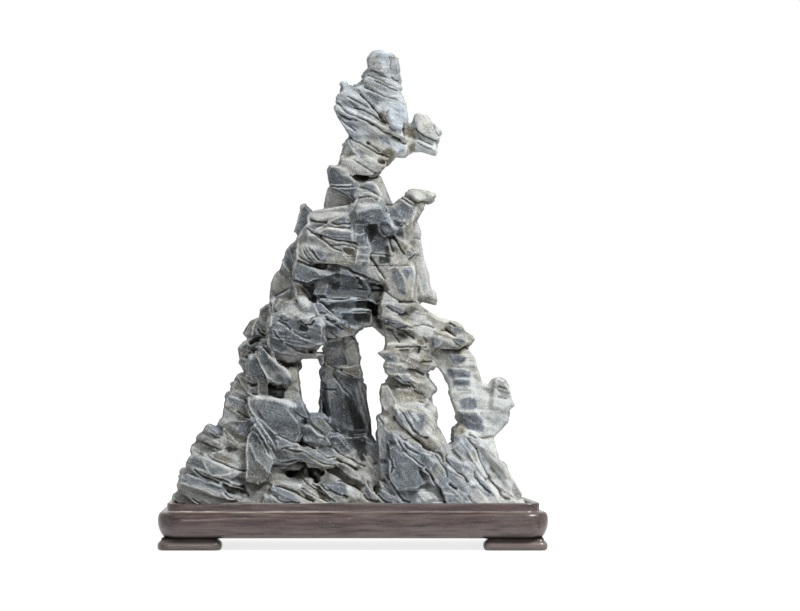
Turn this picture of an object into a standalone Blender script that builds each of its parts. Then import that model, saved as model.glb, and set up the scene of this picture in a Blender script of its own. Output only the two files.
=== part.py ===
"""A scholar's rock on its carved wooden stand.

The stone is splintered, layered limestone: slabs that dip to the right rise from a broad base through
three pierced legs to a leaning torso, a narrow neck and a knobbly head. It is fused from convex slabs,
each given by its outline as seen from the front (X to the right, Z up) and by how near to the front
(-Y) its face stands. The stone drops into a shallow seat in a moulded board with four low feet.
Lengths are in millimetres up to the meshes, which are in metres.
"""

import math
import random

import bmesh
import bpy

MM = 0.001
GAP = 0.3

# The stand: a board 124 mm long and 48 mm deep on feet, 15 mm high in all.
BOARD_BOTTOM = 4.2
BELLY_TOP = 12.0
RIM_BOTTOM = 12.5
RIM_TOP = 15.0
RIM_HALF_LENGTH = 59.0
RIM_HALF_DEPTH = 21.0
BELLY_BULGE = 3.0
CORNER_RADIUS = 5.0
LIP_WIDTH = 2.6
SEAT_FLOOR = 13.0
FRONT_SWAY = 0.7
RIM_CHAMFER = 0.4
BELLY_STEPS = 8
BELLY_START = 0.06
BELLY_END = 0.72
RIGHT_END_SLANT = 5.0
SLANT_START = (CORNER_RADIUS + BELLY_BULGE) / (2 * (RIM_HALF_DEPTH + BELLY_BULGE))
CORNER_STEPS = 5
SIDE_STEPS = 8

FRONT_FOOT = 20.4
BACK_FOOT = 14.5
FOOT_REACH = 61.8
FOOT_DEPTH = 9.0
FOOT_HEIGHT = BOARD_BOTTOM - GAP
FOOT_CENTRE_Y = 16.5
FOOT_RADIUS = 2.5
FOOT_PROFILE = [(0.7, 0.0), (0.15, 0.5), (0.0, 1.3), (0.1, 2.1), (0.9, 3.0), (1.3, FOOT_HEIGHT)]

# The stone.
STONE_BOTTOM = SEAT_FLOOR + GAP
FACE_BEVEL = 1.0
BELT_PLACE = (0.25, 0.5)
FACE_JITTER = 0.35
BACK_SHARE = 0.85
MOST_BEVEL = 0.25
THINNEST_LAYER = 3.5
THICKEST_LAYER = 6.5
LAYER_OVERLAP = 0.35
LAYER_STEP = 0.8
BACK_STEP = 2.0
CORE_LEAN = 0.1
CORE_FACE_SHARE = 0.92
CORE_BACK_SHARE = (0.75, 0.95)
STONE_SEED = 7
NET_SIZE = 0.7
STONE_TRIANGLES = 7650
FAR_X = 80.0
FAR_Y = 40.0


def slab(front, *outline):
    """A convex slab: the Y of its face, and its outline as (x, z) points."""
    return front, outline


def core(front, back, dip, *outline):
    """A stretch of stone behind the slabs: the Y of its front and back, its layers' dip, and its outline."""
    return front, back, dip, outline


def base_left():
    """Slabs that dip to the right, from the left toe up to the pitted grey face."""
    return [
        slab(-13, (-58, 15.5), (-57.5, 17.3), (-56, 18.5), (-50, 15.5), (-46, 12), (-58, 12)),
        slab(-15, (-56.3, 20.3), (-54.5, 21.5), (-44, 17), (-36, 14.8), (-36, 12), (-47, 12), (-55.5, 18)),
        slab(-16, (-55.8, 21), (-55, 23.8), (-51, 24), (-44, 19.5), (-38.5, 17.6), (-34.5, 15.2),
            (-44, 16.6)),
        slab(-17.5, (-41.8, 17.8), (-38, 17.6), (-34.8, 15.6), (-39.5, 15.2)),
        slab(-14, (-55, 24.5), (-52.5, 25.8), (-49.5, 24.2), (-50.5, 22), (-54.5, 22.5)),
        slab(-16, (-53.5, 27.3), (-52, 30), (-50, 29.5), (-46, 23.5), (-36, 19.4), (-44, 20.3),
            (-52.7, 26)),
        slab(-17, (-49, 28.3), (-47, 28.8), (-40, 25.2), (-35.5, 24.2), (-37, 22.6), (-45, 22.5),
            (-48, 25)),
        slab(-15.5, (-45.5, 22.9), (-40, 23.2), (-35, 20.5), (-34.5, 18.8), (-40, 19.7), (-44.5, 21.5)),
        slab(-15.5, (-50, 29.5), (-48, 30.5), (-45, 30.2), (-36, 26), (-34.7, 24), (-40, 25.5),
            (-47.5, 28.6)),
        slab(-13.5, (-47, 30.2), (-41, 30.4), (-36, 28.4), (-34.8, 25), (-39, 26.2)),
        slab(-11, (-52.4, 30.5), (-52, 33), (-50, 34), (-47.5, 32.5), (-47, 30), (-49, 28.8), (-51.5, 29)),
        slab(-10, (-50.5, 33.8), (-50.4, 35.7), (-48.5, 36.2), (-42, 33), (-41.5, 30.8), (-47.5, 32.2)),
        slab(-12, (-49, 35), (-48.2, 37.3), (-46.5, 38.8), (-43, 37), (-42, 33.5), (-43, 31.6),
            (-47, 33.4)),
        slab(-14, (-47.5, 39.2), (-46, 40.1), (-44.5, 39.4), (-42, 37), (-42.3, 35.5), (-45, 35.6),
            (-47, 37.4)),
        slab(-11, (-43.4, 41), (-42, 41.2), (-40.6, 38), (-41, 33), (-42.6, 31), (-43.3, 34)),
        slab(-9, (-42.4, 43), (-41.8, 46), (-38, 47), (-34, 46), (-31.5, 39.5), (-33.5, 36), (-39, 32.6),
            (-41.3, 36)),
        slab(-7.5, (-41.6, 48.3), (-40.3, 49.8), (-37, 51), (-33.2, 48.5), (-34.5, 45), (-41.2, 46)),
        slab(-5, (-38.8, 53.6), (-37.3, 55.4), (-35, 55.2), (-32.5, 52.5), (-32.5, 48.5), (-36, 49.5),
            (-38.3, 51.5)),
        slab(-8, (-35, 54.6), (-31, 53.6), (-30.5, 52.3), (-34.3, 52.1)),
        slab(-8.5, (-34.5, 51.5), (-30.6, 51.8), (-30.8, 48.8), (-33.2, 48.6)),
        slab(-15, (-31.5, 39), (-28, 36.3), (-25.5, 33), (-25, 27), (-26.5, 21.3), (-30, 19.5),
            (-34.6, 21), (-34.8, 29), (-33.8, 36)),
        slab(-14, (-34.8, 46), (-33.4, 46.4), (-29, 40.4), (-25, 35.6), (-25, 31), (-28.5, 34.5),
            (-32.5, 40.5)),
        slab(-15.4, (-33.4, 42), (-31.8, 42.6), (-26.5, 34.8), (-26.2, 31.5), (-29.5, 36.2)),
        slab(-14, (-35.5, 21.5), (-30, 19.8), (-27, 19.7), (-27.5, 16.5), (-30, 14), (-34.6, 15.8)),
        slab(-15.5, (-37, 15.2), (-34, 16.3), (-30, 14.4), (-27, 12), (-37, 12)),
        slab(-17, (-28.6, 17.3), (-27.5, 17.7), (-22, 13.3), (-21.5, 12), (-30.3, 12), (-29.6, 14.5)),
    ]


def base_middle():
    """The undercut ledges over a dark cave, and the splinters below it."""
    return [
        slab(-16, (-26.7, 21.2), (-24, 21.5), (-17, 21), (-15, 18), (-11.2, 14), (-14, 14.2),
            (-20, 17.4), (-25.5, 19.8)),
        slab(-17.3, (-27, 19.7), (-25.5, 19.9), (-20, 17.2), (-14.5, 14.6), (-12.5, 12), (-22.5, 12),
            (-26, 16)),
        slab(-12, (-26.2, 24.4), (-22, 24), (-18, 22.6), (-16, 20.5), (-26, 20.5)),
        slab(-14.5, (-17, 22.4), (-15, 23.2), (-12.2, 22.6), (-11.5, 20.5), (-11.5, 17), (-15, 17.5)),
        slab(-11.5, (-25.8, 25.4), (-25.5, 26.9), (-17, 26.6), (-13.5, 25.2), (-18, 25)),
        slab(-14, (-26, 29.9), (-20, 30.1), (-16, 29.7), (-10, 26.8), (-9.3, 25.4), (-13, 25.8),
            (-18, 26.4), (-25.5, 27.1)),
        slab(-15.5, (-24.6, 31.3), (-23, 31.5), (-17, 31), (-15, 30), (-8, 26), (-9, 25.2), (-13, 26.8),
            (-16, 29), (-24.6, 30.2)),
        slab(-17, (-18.3, 32.3), (-15, 32.4), (-10, 29.4), (-5, 27.3), (-4.7, 26.5), (-6, 25.6),
            (-10, 26.5), (-15, 29.9)),
        slab(-16, (-25.2, 35.1), (-24, 35.2), (-17, 32.6), (-15.3, 32), (-19, 31.5), (-24.7, 31.7)),
        slab(-15, (-12.3, 31.4), (-7.5, 31.4), (-6, 30), (-5.6, 28.5), (-9, 28.4), (-12.8, 30.6)),
        slab(-14.3, (-7, 31.5), (-5.5, 31.1), (0, 27.6), (1.9, 25.9), (0.6, 24.6), (-5.3, 27.4)),
        slab(-12, (-9, 34.7), (-8.3, 36.3), (-5, 36.6), (-3.8, 35.6), (1, 30), (2.2, 26.3), (0, 27.4),
            (-6, 31.4)),
        slab(-13.6, (-5.2, 26.6), (-4, 25), (1, 21.8), (3.2, 20.4), (3.2, 23), (1, 25)),
        slab(-12.6, (-12.4, 21.3), (-9.5, 25.3), (-3, 22), (2, 18.6), (3, 14.8), (-2, 16.4)),
        slab(-15, (-11.6, 20.7), (-9, 21.3), (-4, 20.7), (-2, 17.5), (-3.5, 15.6), (-7, 17.3)),
        slab(-14.6, (-3, 20.8), (1, 19.2), (3.2, 15.5), (0.5, 13.8), (-2, 15.4), (-3.4, 17.5)),
        slab(-16, (-11.2, 19.9), (-10, 19.8), (-6.5, 16.8), (-0.8, 14.3), (-1.5, 13.6), (-7.5, 14.4)),
        slab(-16.4, (-16.7, 18.7), (-14, 19.4), (-10, 15.6), (-7.3, 14.2), (-10.5, 13.7), (-14, 15.1)),
        slab(-17.3, (-13.6, 14.8), (-9, 14.7), (-1, 13.7), (0, 12), (-14, 12)),
        slab(-15, (-0.2, 14.1), (3, 17.2), (4.4, 20.6), (7, 17.5), (9.5, 14), (9, 12), (0, 12)),
        slab(-16, (4.1, 20.8), (5.2, 20.3), (10, 14.6), (11, 12), (7, 12), (6.2, 15.6)),
        slab(-17, (7.2, 18.2), (8.5, 18.5), (13.5, 14.9), (14.7, 12), (10.6, 12), (8.4, 15.6)),
        slab(-15.6, (7.9, 21.5), (9, 22), (10.2, 21.8), (13, 16.6), (15.2, 12.6), (13.4, 14.5), (9, 19)),
        slab(-13, (7.9, 28), (11.4, 27.6), (12.5, 26), (11.2, 23.8), (9, 22), (8.4, 25)),
        slab(-10, (3, 30), (5.5, 30.5), (8.5, 26), (9, 21), (6, 17.5), (1, 20.5), (1.5, 26)),
    ]


def base_right():
    """Steep slabs round the big dark facet, up to the pale boulder that tops them."""
    return [
        slab(-17, (10.8, 33.3), (13, 33.8), (16, 30.2), (22.6, 23), (23.4, 20.4), (21, 18.7), (13, 18.9),
            (11, 21.5), (12.4, 26.5)),
        slab(-16, (12, 18.6), (13.2, 19.2), (22, 18.9), (25.3, 18.2), (26.2, 16), (25, 12), (13.6, 12),
            (14.6, 14.6)),
        slab(-12, (7.5, 42), (8.6, 42.9), (10.2, 42.4), (10.6, 38), (11.2, 34), (10.9, 28.4),
            (8.4, 27.4), (7.8, 33)),
        slab(-9, (8.6, 47.3), (8.3, 50), (8.8, 52.6), (11, 52.7), (12.8, 50), (13.5, 46), (12.4, 42.4),
            (9.8, 42.6)),
        slab(-7, (8.8, 48), (11, 47.6), (12, 42), (9.7, 43.2)),
        slab(-14, (12.2, 45.6), (13.5, 45.9), (15, 42), (20.6, 35.3), (19, 34.6), (12.7, 41)),
        slab(-15, (14.4, 45.1), (15.6, 44.9), (23.6, 35), (22.4, 34.2), (17.2, 39)),
        slab(-12, (15, 44.6), (18, 43.9), (20, 44.1), (22.9, 42.5), (22.6, 38.6), (20.6, 37.6),
            (18.6, 40.5)),
        slab(-13, (9.6, 41.4), (12, 40.6), (19.6, 34.5), (26, 30.4), (25, 29.7), (16, 33.2), (10.8, 35)),
        slab(-15, (11.5, 37.4), (13.4, 37.5), (18, 35.2), (26.6, 30.3), (25.4, 29.3), (17, 32.6),
            (12.5, 35.6)),
        slab(-16, (13.4, 34.6), (15, 35.4), (20, 32.2), (27.4, 27.5), (26, 26), (17, 30.7)),
        slab(-16.6, (16, 30.6), (19, 30.8), (26, 25.3), (25, 22.6), (22.6, 24.3)),
        slab(-15.3, (22.6, 24.4), (25.8, 25.4), (28.2, 21.3), (27, 19), (24, 20.6)),
        slab(-10, (12.6, 50.6), (14, 51.7), (19, 50.3), (23.5, 48), (25.4, 46.3), (22, 44.2), (15, 44.8),
            (13.2, 46.6)),
        slab(-9, (22.8, 46.5), (27, 45), (27.4, 42.5), (26.7, 37), (24.5, 35.3), (22.6, 38)),
        slab(-10, (21.8, 36.6), (26.4, 37.2), (27.6, 34), (29.4, 32.2), (31.8, 31.6), (31.8, 29.3),
            (27, 29), (23, 31)),
        slab(-12, (24.8, 24.8), (27.3, 28.4), (30, 27), (30.4, 23), (28, 20.5), (25.8, 21)),
    ]


def right_foot_of_stone():
    """Steep leaves fanning out to the right toe, with a spur that stands in the right window."""
    return [
        slab(-6, (31.7, 31), (31.9, 38.2), (33.3, 39.3), (35, 38.9), (36.2, 37.6), (38, 33), (36, 29),
            (32, 29)),
        slab(-13, (29.6, 29.3), (31, 29.6), (37, 26.4), (35.6, 22.4), (30.3, 24.8), (29.5, 27.4)),
        slab(-12.2, (28, 28.4), (29.5, 26.7), (36.5, 22.2), (35.6, 19.8), (30, 22.6), (28, 25)),
        slab(-14, (29.4, 23.6), (31, 24.6), (36.6, 20.6), (37.3, 17.4), (34, 16.8), (30.2, 20.3)),
        slab(-15, (27.8, 20.6), (30, 21.1), (31.6, 17.5), (29.5, 16.1), (28.1, 18.3)),
        slab(-15.2, (30.8, 20.5), (32, 20.7), (37, 16.2), (39.2, 12), (34.5, 12)),
        slab(-16.6, (28.6, 16.6), (33.5, 16.6), (35.7, 13), (35, 12), (29.8, 12)),
        slab(-17, (24.8, 14), (26.5, 15.2), (28.5, 14.6), (29.2, 12), (23.6, 12)),
        slab(-16, (34, 15.2), (36, 17.2), (38.5, 15), (39.6, 12), (34.6, 12)),
        slab(-14, (36, 21.8), (38.6, 20.8), (40.6, 18), (44.3, 14), (46.5, 12), (38.8, 12), (36.8, 17)),
        slab(-13.4, (39.4, 23.8), (41, 22.7), (46.6, 16.6), (48.5, 12), (44.5, 12), (41, 16.5),
            (39.2, 20.5)),
        slab(-11, (35.6, 26.8), (38, 27.8), (40, 24.5), (39.4, 20.3), (36.3, 21.6)),
        slab(-9, (31.8, 33.5), (34.6, 35.5), (38.2, 28), (35.4, 26.2), (32.4, 29)),
        slab(-10, (35.8, 34), (37, 35.3), (40.2, 31), (41.2, 27.5), (43.8, 22.4), (42, 21.6), (37.8, 27.6)),
        slab(-7.5, (34.5, 37), (36.6, 37.8), (39.8, 35.6), (41.5, 31.5), (38.3, 31)),
        slab(-9.3, (40, 31.3), (42.2, 31.5), (44, 28.5), (43.4, 24.6), (41, 27.2)),
        slab(-6.6, (39.5, 34), (41.5, 35.6), (45, 35), (46, 32), (45.6, 30), (47, 28.3), (46, 24.5),
            (43.6, 22.6), (42, 30)),
        slab(-7, (44.5, 29.4), (46.5, 28.3), (49, 25.8), (50.7, 22.6), (49.4, 19.5), (44, 21.5)),
        slab(-9, (43.8, 22.3), (49, 20.8), (51.1, 22.7), (53, 19.3), (54.5, 16.8), (53.4, 14.8),
            (50, 15.6), (46, 18.2)),
        slab(-10.5, (45.6, 18.6), (50, 16), (53.3, 15), (55.6, 13.9), (56, 12), (46.5, 12), (45, 15)),
    ]


def left_leg():
    """The front leg at the left: a big dark block with leaning slabs stacked on it."""
    return [
        slab(-14, (-33.8, 47.2), (-30, 46.6), (-20.4, 44.8), (-16.4, 40), (-16, 36), (-17.4, 32.8),
            (-24.6, 35.2), (-30, 40.2)),
        slab(-12.4, (-34.2, 47.8), (-32, 48.6), (-26, 48.6), (-21, 46.4), (-18.8, 45), (-20, 44.4),
            (-33.6, 45.8)),
        slab(-11, (-20.4, 44.3), (-18, 46.8), (-15.5, 46.6), (-13.9, 42.4), (-14, 40.4), (-17.6, 40.6)),
        slab(-8, (-31.2, 53.4), (-27.2, 53), (-26.8, 48), (-31.4, 48)),
        slab(-8, (-22.6, 52.6), (-17.2, 52.4), (-17.2, 50), (-15.9, 46), (-19, 45), (-22.6, 47.6)),
        slab(-10, (-34.1, 59.2), (-33.2, 62), (-30.5, 62), (-27.6, 56), (-26.2, 52.8), (-30, 52.8),
            (-34.1, 55.4)),
        slab(-12, (-31.2, 62.4), (-30.2, 64), (-28.8, 63.6), (-25, 58.6), (-22.8, 55.8), (-26.8, 53.2),
            (-30.6, 59)),
        slab(-13.4, (-29.2, 64.2), (-27, 62.6), (-23.6, 60), (-19.3, 55.3), (-18.9, 53.8), (-22, 53.6),
            (-26.2, 58)),
        slab(-12.6, (-27, 55.8), (-24, 55.7), (-20, 54.4), (-18.9, 53.2), (-21, 51.6), (-24, 51.5),
            (-26.6, 52.8)),
        slab(-4, (-26, 61), (-16.8, 60.4), (-16.5, 57.4), (-18.6, 56.2), (-24, 55)),
        slab(-7, (-21, 57.4), (-18.9, 56.6), (-17.3, 54), (-17, 51.4), (-21.6, 51.4)),
        slab(-8, (-28, 62.4), (-20, 60.2), (-11.2, 60.2), (-10, 61.6), (-12, 62.5), (-24, 64)),
        slab(-12, (-27.6, 67.4), (-26, 63), (-24, 62), (-17, 60.9), (-15.6, 62.4), (-20, 64.4), (-24, 68)),
        slab(-9, (-31.2, 64), (-30, 66.4), (-28, 67), (-26.6, 65), (-26.4, 61.6), (-30.2, 62.6)),
    ]


def left_head():
    """The boulder on the left leg, the two lumps outside it and the plates behind."""
    return [
        slab(-14.5, (-26.4, 70.4), (-20, 70.2), (-15, 66.8), (-9.6, 64.6), (-13, 63.5), (-17, 64),
            (-22, 65.2), (-26.7, 67.6)),
        slab(-13, (-19.4, 69.5), (-16, 69), (-9.3, 68.9), (-9.1, 64.9), (-14.5, 66)),
        slab(-13.6, (-15.6, 70.6), (-9.2, 68.6), (-9.2, 70.6), (-10.6, 73), (-12.4, 73.6)),
        slab(-13, (-27.5, 72.6), (-25.6, 75), (-22, 75.5), (-19, 73.8), (-16.3, 70.2), (-20, 69.8),
            (-27.3, 70.6)),
        slab(-14, (-18.7, 74.5), (-15, 73.8), (-12, 74.6), (-11.4, 73.4), (-14, 71), (-17, 71.5)),
        slab(-11, (-26.2, 77), (-24, 79.8), (-18, 79), (-13.6, 75.6), (-16, 73.6), (-24, 74.5)),
        slab(-12, (-18.6, 80), (-16, 80.8), (-13.6, 79.2), (-13.3, 76), (-15, 74.5), (-17.6, 76.6)),
        slab(-9, (-27.9, 74), (-27.5, 67), (-25.8, 63), (-24, 62.4), (-23.6, 66), (-25, 72)),
        slab(-3, (-36.1, 68.5), (-34.6, 71), (-33.4, 72.8), (-30, 74), (-27, 72), (-27, 68), (-31, 67.2),
            (-34.5, 67)),
        slab(-2.6, (-37.6, 63.9), (-36.2, 65.4), (-33, 67), (-31.4, 66), (-32.6, 62), (-34, 58.4),
            (-36.7, 59.6)),
        slab(-1, (-37.5, 59.2), (-36, 60), (-31, 60), (-32, 54.4), (-34.8, 55.4), (-35.2, 57.6)),
        slab(1, (-30.7, 75.6), (-30.2, 76.5), (-27.6, 78.4), (-25, 77), (-25, 72), (-30.6, 73)),
        slab(-2, (-27.3, 79), (-26.9, 84.5), (-25.4, 88), (-21, 89.5), (-17, 86), (-16, 78), (-25.5, 76.5)),
        slab(-2.4, (-24.1, 88.4), (-22.7, 92), (-21.9, 95.5), (-20.8, 97.2), (-18.8, 98.6), (-15, 96),
            (-16, 88), (-20, 87)),
        slab(-5, (-24.6, 80.8), (-20.5, 84.2), (-18, 84.6), (-17.5, 79.4), (-24.2, 79.6)),
        slab(-7.4, (-19.7, 85.4), (-18, 85), (-14, 79.6), (-17.5, 78.6), (-19.6, 79)),
        slab(-5.5, (-27.6, 76), (-26.8, 80), (-25.6, 80), (-24, 74.6), (-27, 73)),
    ]


def back_leg():
    """The leg that stands further back, smooth and rounded, between the left window and the arch."""
    return [
        slab(4, (-9.3, 67.2), (-4, 67), (-2, 64.6), (-2, 57.4), (-7, 57.6), (-8.8, 60), (-9.3, 64)),
        slab(2.4, (-3.7, 63.8), (-1.6, 66.4), (0.8, 66.8), (1.8, 62.5), (2.3, 60), (1.6, 57.8),
            (-1.8, 57.6)),
        slab(1.6, (-4.2, 67.2), (-0.5, 68), (1.3, 67.3), (0.2, 66), (-3.4, 65)),
        slab(1.6, (-7, 57.8), (0, 58), (2.2, 58.2), (3.2, 55), (2.4, 53.4), (-1, 54.2), (-6, 55.4)),
        slab(4, (-11, 56.6), (-9.4, 58.4), (-8.6, 60.5), (-5, 58), (-4, 51.6), (-10.4, 51.8),
            (-11.1, 54.4)),
        slab(5, (-11.3, 51.8), (-9, 52.2), (-6, 52), (-4, 44), (-9.6, 41), (-11, 41.6), (-11.3, 46)),
        slab(3, (-9.6, 53.4), (-5, 56), (0.5, 54.5), (1.8, 49.5), (2.6, 45), (4.5, 39.5), (4, 35),
            (-5, 36), (-8.6, 43)),
        slab(5.4, (0.6, 54), (2.7, 53.8), (3.9, 49.3), (3.4, 45.5), (4.9, 40), (6.2, 34.6), (3, 33),
            (0, 44)),
        slab(1, (-6, 38.4), (4.6, 37.8), (6.7, 34.5), (8, 32.5), (8.4, 28), (3, 25), (-4, 26), (-7, 34)),
        slab(-3, (-15.8, 41.2), (-13.8, 42.5), (-10.8, 42.5), (-8.8, 41.4), (-6, 37.6), (-9, 33),
            (-14, 34)),
        slab(-8.6, (-16.6, 39.4), (-14.8, 40.6), (-10.5, 35.9), (-8.8, 34.5), (-11, 32), (-16.6, 33.4)),
        slab(-10.4, (-10.4, 33.6), (-8.4, 36.3), (-5, 36.2), (-2, 33), (-2, 30), (-9, 30.6)),
        slab(-1, (-11.2, 62.6), (-9.2, 62), (-8.4, 58), (-10.6, 57.6), (-11.6, 60.4)),
    ]


def middle_leg():
    """The front leg right of the arch: thin leaves and spikes in a twisted stack."""
    return [
        slab(-9, (9.4, 82), (11, 82), (15, 79.7), (21, 78.7), (20, 76.4), (14, 76.8), (7.9, 78.4),
            (8.3, 80.2)),
        slab(-9.6, (7.8, 78.2), (12, 78.5), (15.4, 77), (17.7, 75.4), (16, 73.8), (12, 74.5), (8.3, 75.3)),
        slab(-10.6, (8.5, 75), (10.5, 75.5), (15, 73.3), (18.7, 71), (17.5, 70.2), (12, 71), (8.4, 73)),
        slab(-9, (9.3, 71.6), (12, 72), (18.7, 71.2), (19.2, 69.8), (15, 69.4), (10.2, 70)),
        slab(-7, (9.4, 71), (13.5, 69.2), (15, 66.5), (14.7, 64.4), (10.2, 64.4), (11.5, 66.2)),
        slab(-9, (9.7, 64.6), (10.5, 65.4), (19, 66.4), (24, 64.2), (18, 63.2), (10.5, 63.4)),
        slab(-6, (16, 79.2), (20.4, 78.8), (26.4, 74), (27.7, 72.4), (27, 69.6), (22, 70.8), (18.5, 69.6)),
        slab(-7, (19.6, 71.2), (26.6, 70.7), (26, 67.5), (22, 66.6), (19, 67.8)),
        slab(-6.4, (19.5, 68.4), (25.4, 68.2), (25.4, 64), (21, 63.6), (17, 65)),
        slab(-11, (7.2, 62.5), (9.5, 62.9), (13.7, 61.6), (14.2, 59.8), (10.4, 60)),
        slab(-9, (9.8, 64.2), (14.5, 63.8), (15.7, 60.5), (14.5, 58.2), (9.8, 59.8)),
        slab(-10.5, (9.2, 58.3), (10.5, 60.2), (15, 59.2), (17.8, 57.4), (16.6, 55.1), (12, 55.3),
            (10, 56)),
        slab(-9.6, (9.9, 56.8), (11, 54.9), (14.5, 53.3), (19.4, 52.4), (19.4, 55), (15, 57)),
        slab(-11.3, (13.4, 54.9), (16, 54.8), (19, 53.6), (18.6, 52.5), (15.5, 52.6)),
        slab(-9, (12.6, 54.4), (14, 53.3), (21, 49.8), (22, 53), (16, 56)),
        slab(-8, (14.6, 63.6), (20.8, 63), (20, 60), (17.8, 56.6), (14.8, 58.3)),
        slab(-9, (17.6, 61.6), (22.3, 61.3), (21.6, 57.5), (18.6, 56), (17.4, 58.3)),
        slab(-6, (20, 63.4), (25, 62.4), (26.7, 60), (26.7, 58), (25.4, 56.7), (23.2, 55.8), (19, 56.6)),
        slab(-6, (17.6, 57.6), (23, 56.4), (25, 52.7), (26.8, 50), (24, 48.8), (20.5, 50.2), (16, 53.6)),
        slab(-5, (20, 51), (25.3, 49), (25.5, 46.2), (21, 45.6)),
    ]


def right_shoulder():
    """The knuckle right of the middle leg, split from the right leg below by a dark crack."""
    return [
        slab(-6, (25.4, 73), (27.4, 72.3), (30.5, 73), (32.4, 71), (31, 68.6), (25, 69)),
        slab(-7, (30, 73), (33, 72.5), (35.1, 71.4), (36, 69.5), (35.6, 68), (31.8, 67.8)),
        slab(-5, (35, 70.2), (38.9, 67.6), (39.4, 66.3), (38, 64.8), (35, 65), (33.5, 67.5)),
        slab(-9, (25.2, 67.2), (27, 67.6), (29, 65.6), (27.6, 63.9), (25.1, 63.9)),
        slab(-8, (25.6, 69.6), (31.5, 68.5), (33.2, 67.5), (34.4, 64.4), (30, 63.8), (26, 66.8)),
        slab(-8.6, (31.8, 67.8), (35.7, 68.1), (37, 65.7), (36.3, 63.8), (33.3, 64)),
        slab(-7, (23.4, 64.2), (28, 65), (36.6, 64.6), (37.2, 63.9), (34, 62.9), (25, 62.8)),
    ]


def right_leg():
    """The outer leg: a smooth shaft bent into a bowl, with a thumb standing at its right."""
    return [
        slab(-4, (24.8, 63.4), (31.5, 63), (31.6, 56), (30.8, 52.6), (29.6, 56.6), (27.6, 60), (24.6, 61)),
        slab(-6, (30, 62.7), (37.4, 63.4), (38.7, 61.5), (39.8, 59), (38, 57), (34.5, 57), (30.4, 59.6)),
        slab(-7, (31, 61.8), (37, 62), (36.9, 60), (34.5, 58), (32.2, 58.4)),
        slab(-5, (30, 60.6), (39, 60), (40.7, 56.3), (41.5, 53.2), (40, 49), (31, 49), (29.8, 54.4)),
        slab(-6.4, (30.4, 57.5), (37.2, 56.7), (37.8, 53.8), (32, 54.6)),
        slab(-6.2, (31.8, 54.2), (37.7, 54), (37.2, 51), (33, 51)),
        slab(-5.4, (30.7, 51.4), (39.6, 51.4), (41, 47), (40, 42.6), (32.6, 42.8), (31, 47)),
        slab(-4, (38, 54), (41.4, 53), (43.3, 51.4), (45.6, 50), (46, 44), (39, 42.6)),
        slab(-5, (44.7, 52.4), (45.3, 54.1), (46.8, 54.5), (48.7, 53.8), (49.4, 51.5), (50.9, 49.2),
            (51.6, 46.4), (49.8, 42.8), (44, 44)),
        slab(-3, (50, 47.4), (51.7, 46.3), (52.4, 45.1), (50.5, 43.9), (48, 44.6)),
        slab(-5, (32, 44.4), (50.3, 43.6), (50.1, 40.5), (48.4, 38), (45, 34.9), (40, 35.3), (34.4, 39.9)),
        slab(-6, (33.6, 43), (41, 42.7), (44.2, 38), (42, 35.8), (37, 37.2)),
        slab(-4.4, (38.6, 37), (45.2, 36), (45.2, 33), (41, 32.4), (39, 34)),
    ]


def waist():
    """Recessed ledges that bridge the legs under the torso."""
    return [
        slab(-10, (-19.5, 85.8), (-19.2, 91.8), (-17, 91.8), (-10.5, 89), (-6.3, 87.2), (-9, 85.9),
            (-15, 83.8)),
        slab(-6, (-13.6, 80.2), (-13, 83.4), (-11, 86), (-7, 86), (-7.6, 82), (-8.6, 79.8)),
        slab(-4, (-9.5, 80), (-8, 84), (-4.2, 90), (-1, 89.4), (4.2, 84.4), (5.2, 82.5), (1, 79.8)),
        slab(-3, (-0.5, 88.6), (5, 86.5), (9.8, 82.8), (9.4, 79.6), (1, 79.6)),
        slab(-6, (-12, 79.8), (-11, 80.5), (-6, 79.8), (0, 80), (9, 80.3), (8.7, 79), (0, 79), (-8, 78),
            (-12, 78.6)),
        slab(-4, (-11, 77), (-5, 79), (5, 79), (5.7, 76), (0, 75.4), (-6.5, 75.6)),
        slab(-5.4, (-8, 76.4), (0, 76.3), (6, 76.2), (6.2, 75), (0, 74.5), (-7, 74.7)),
        slab(-2, (-7.6, 75.6), (7, 75.8), (7, 72.8), (6.2, 71), (1.5, 70.4), (-4, 70.2)),
        slab(-8, (-13.2, 77), (-12.4, 79.4), (-10.5, 78.9), (-6, 75), (-0.8, 70.8), (-3, 71), (-7, 74.6),
            (-12.6, 75)),
        slab(-9, (-12.3, 75), (-9, 75), (-6.2, 72.8), (-5, 70.2), (-8.5, 70.8), (-11.6, 73.4)),
        slab(-4, (-9.5, 71.6), (-7, 71.4), (-4.2, 68.2), (-3.3, 66), (-9.2, 66.2)),
        slab(-4.4, (-6, 72.4), (-1, 71.2), (1, 70.8), (1.8, 69.6), (0.2, 67.4), (-4.8, 66.6)),
        slab(0, (5.8, 71), (6, 79), (10, 80), (10, 74), (11, 70), (11.3, 66.2), (9.5, 67.4), (8, 69.8)),
    ]


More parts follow.
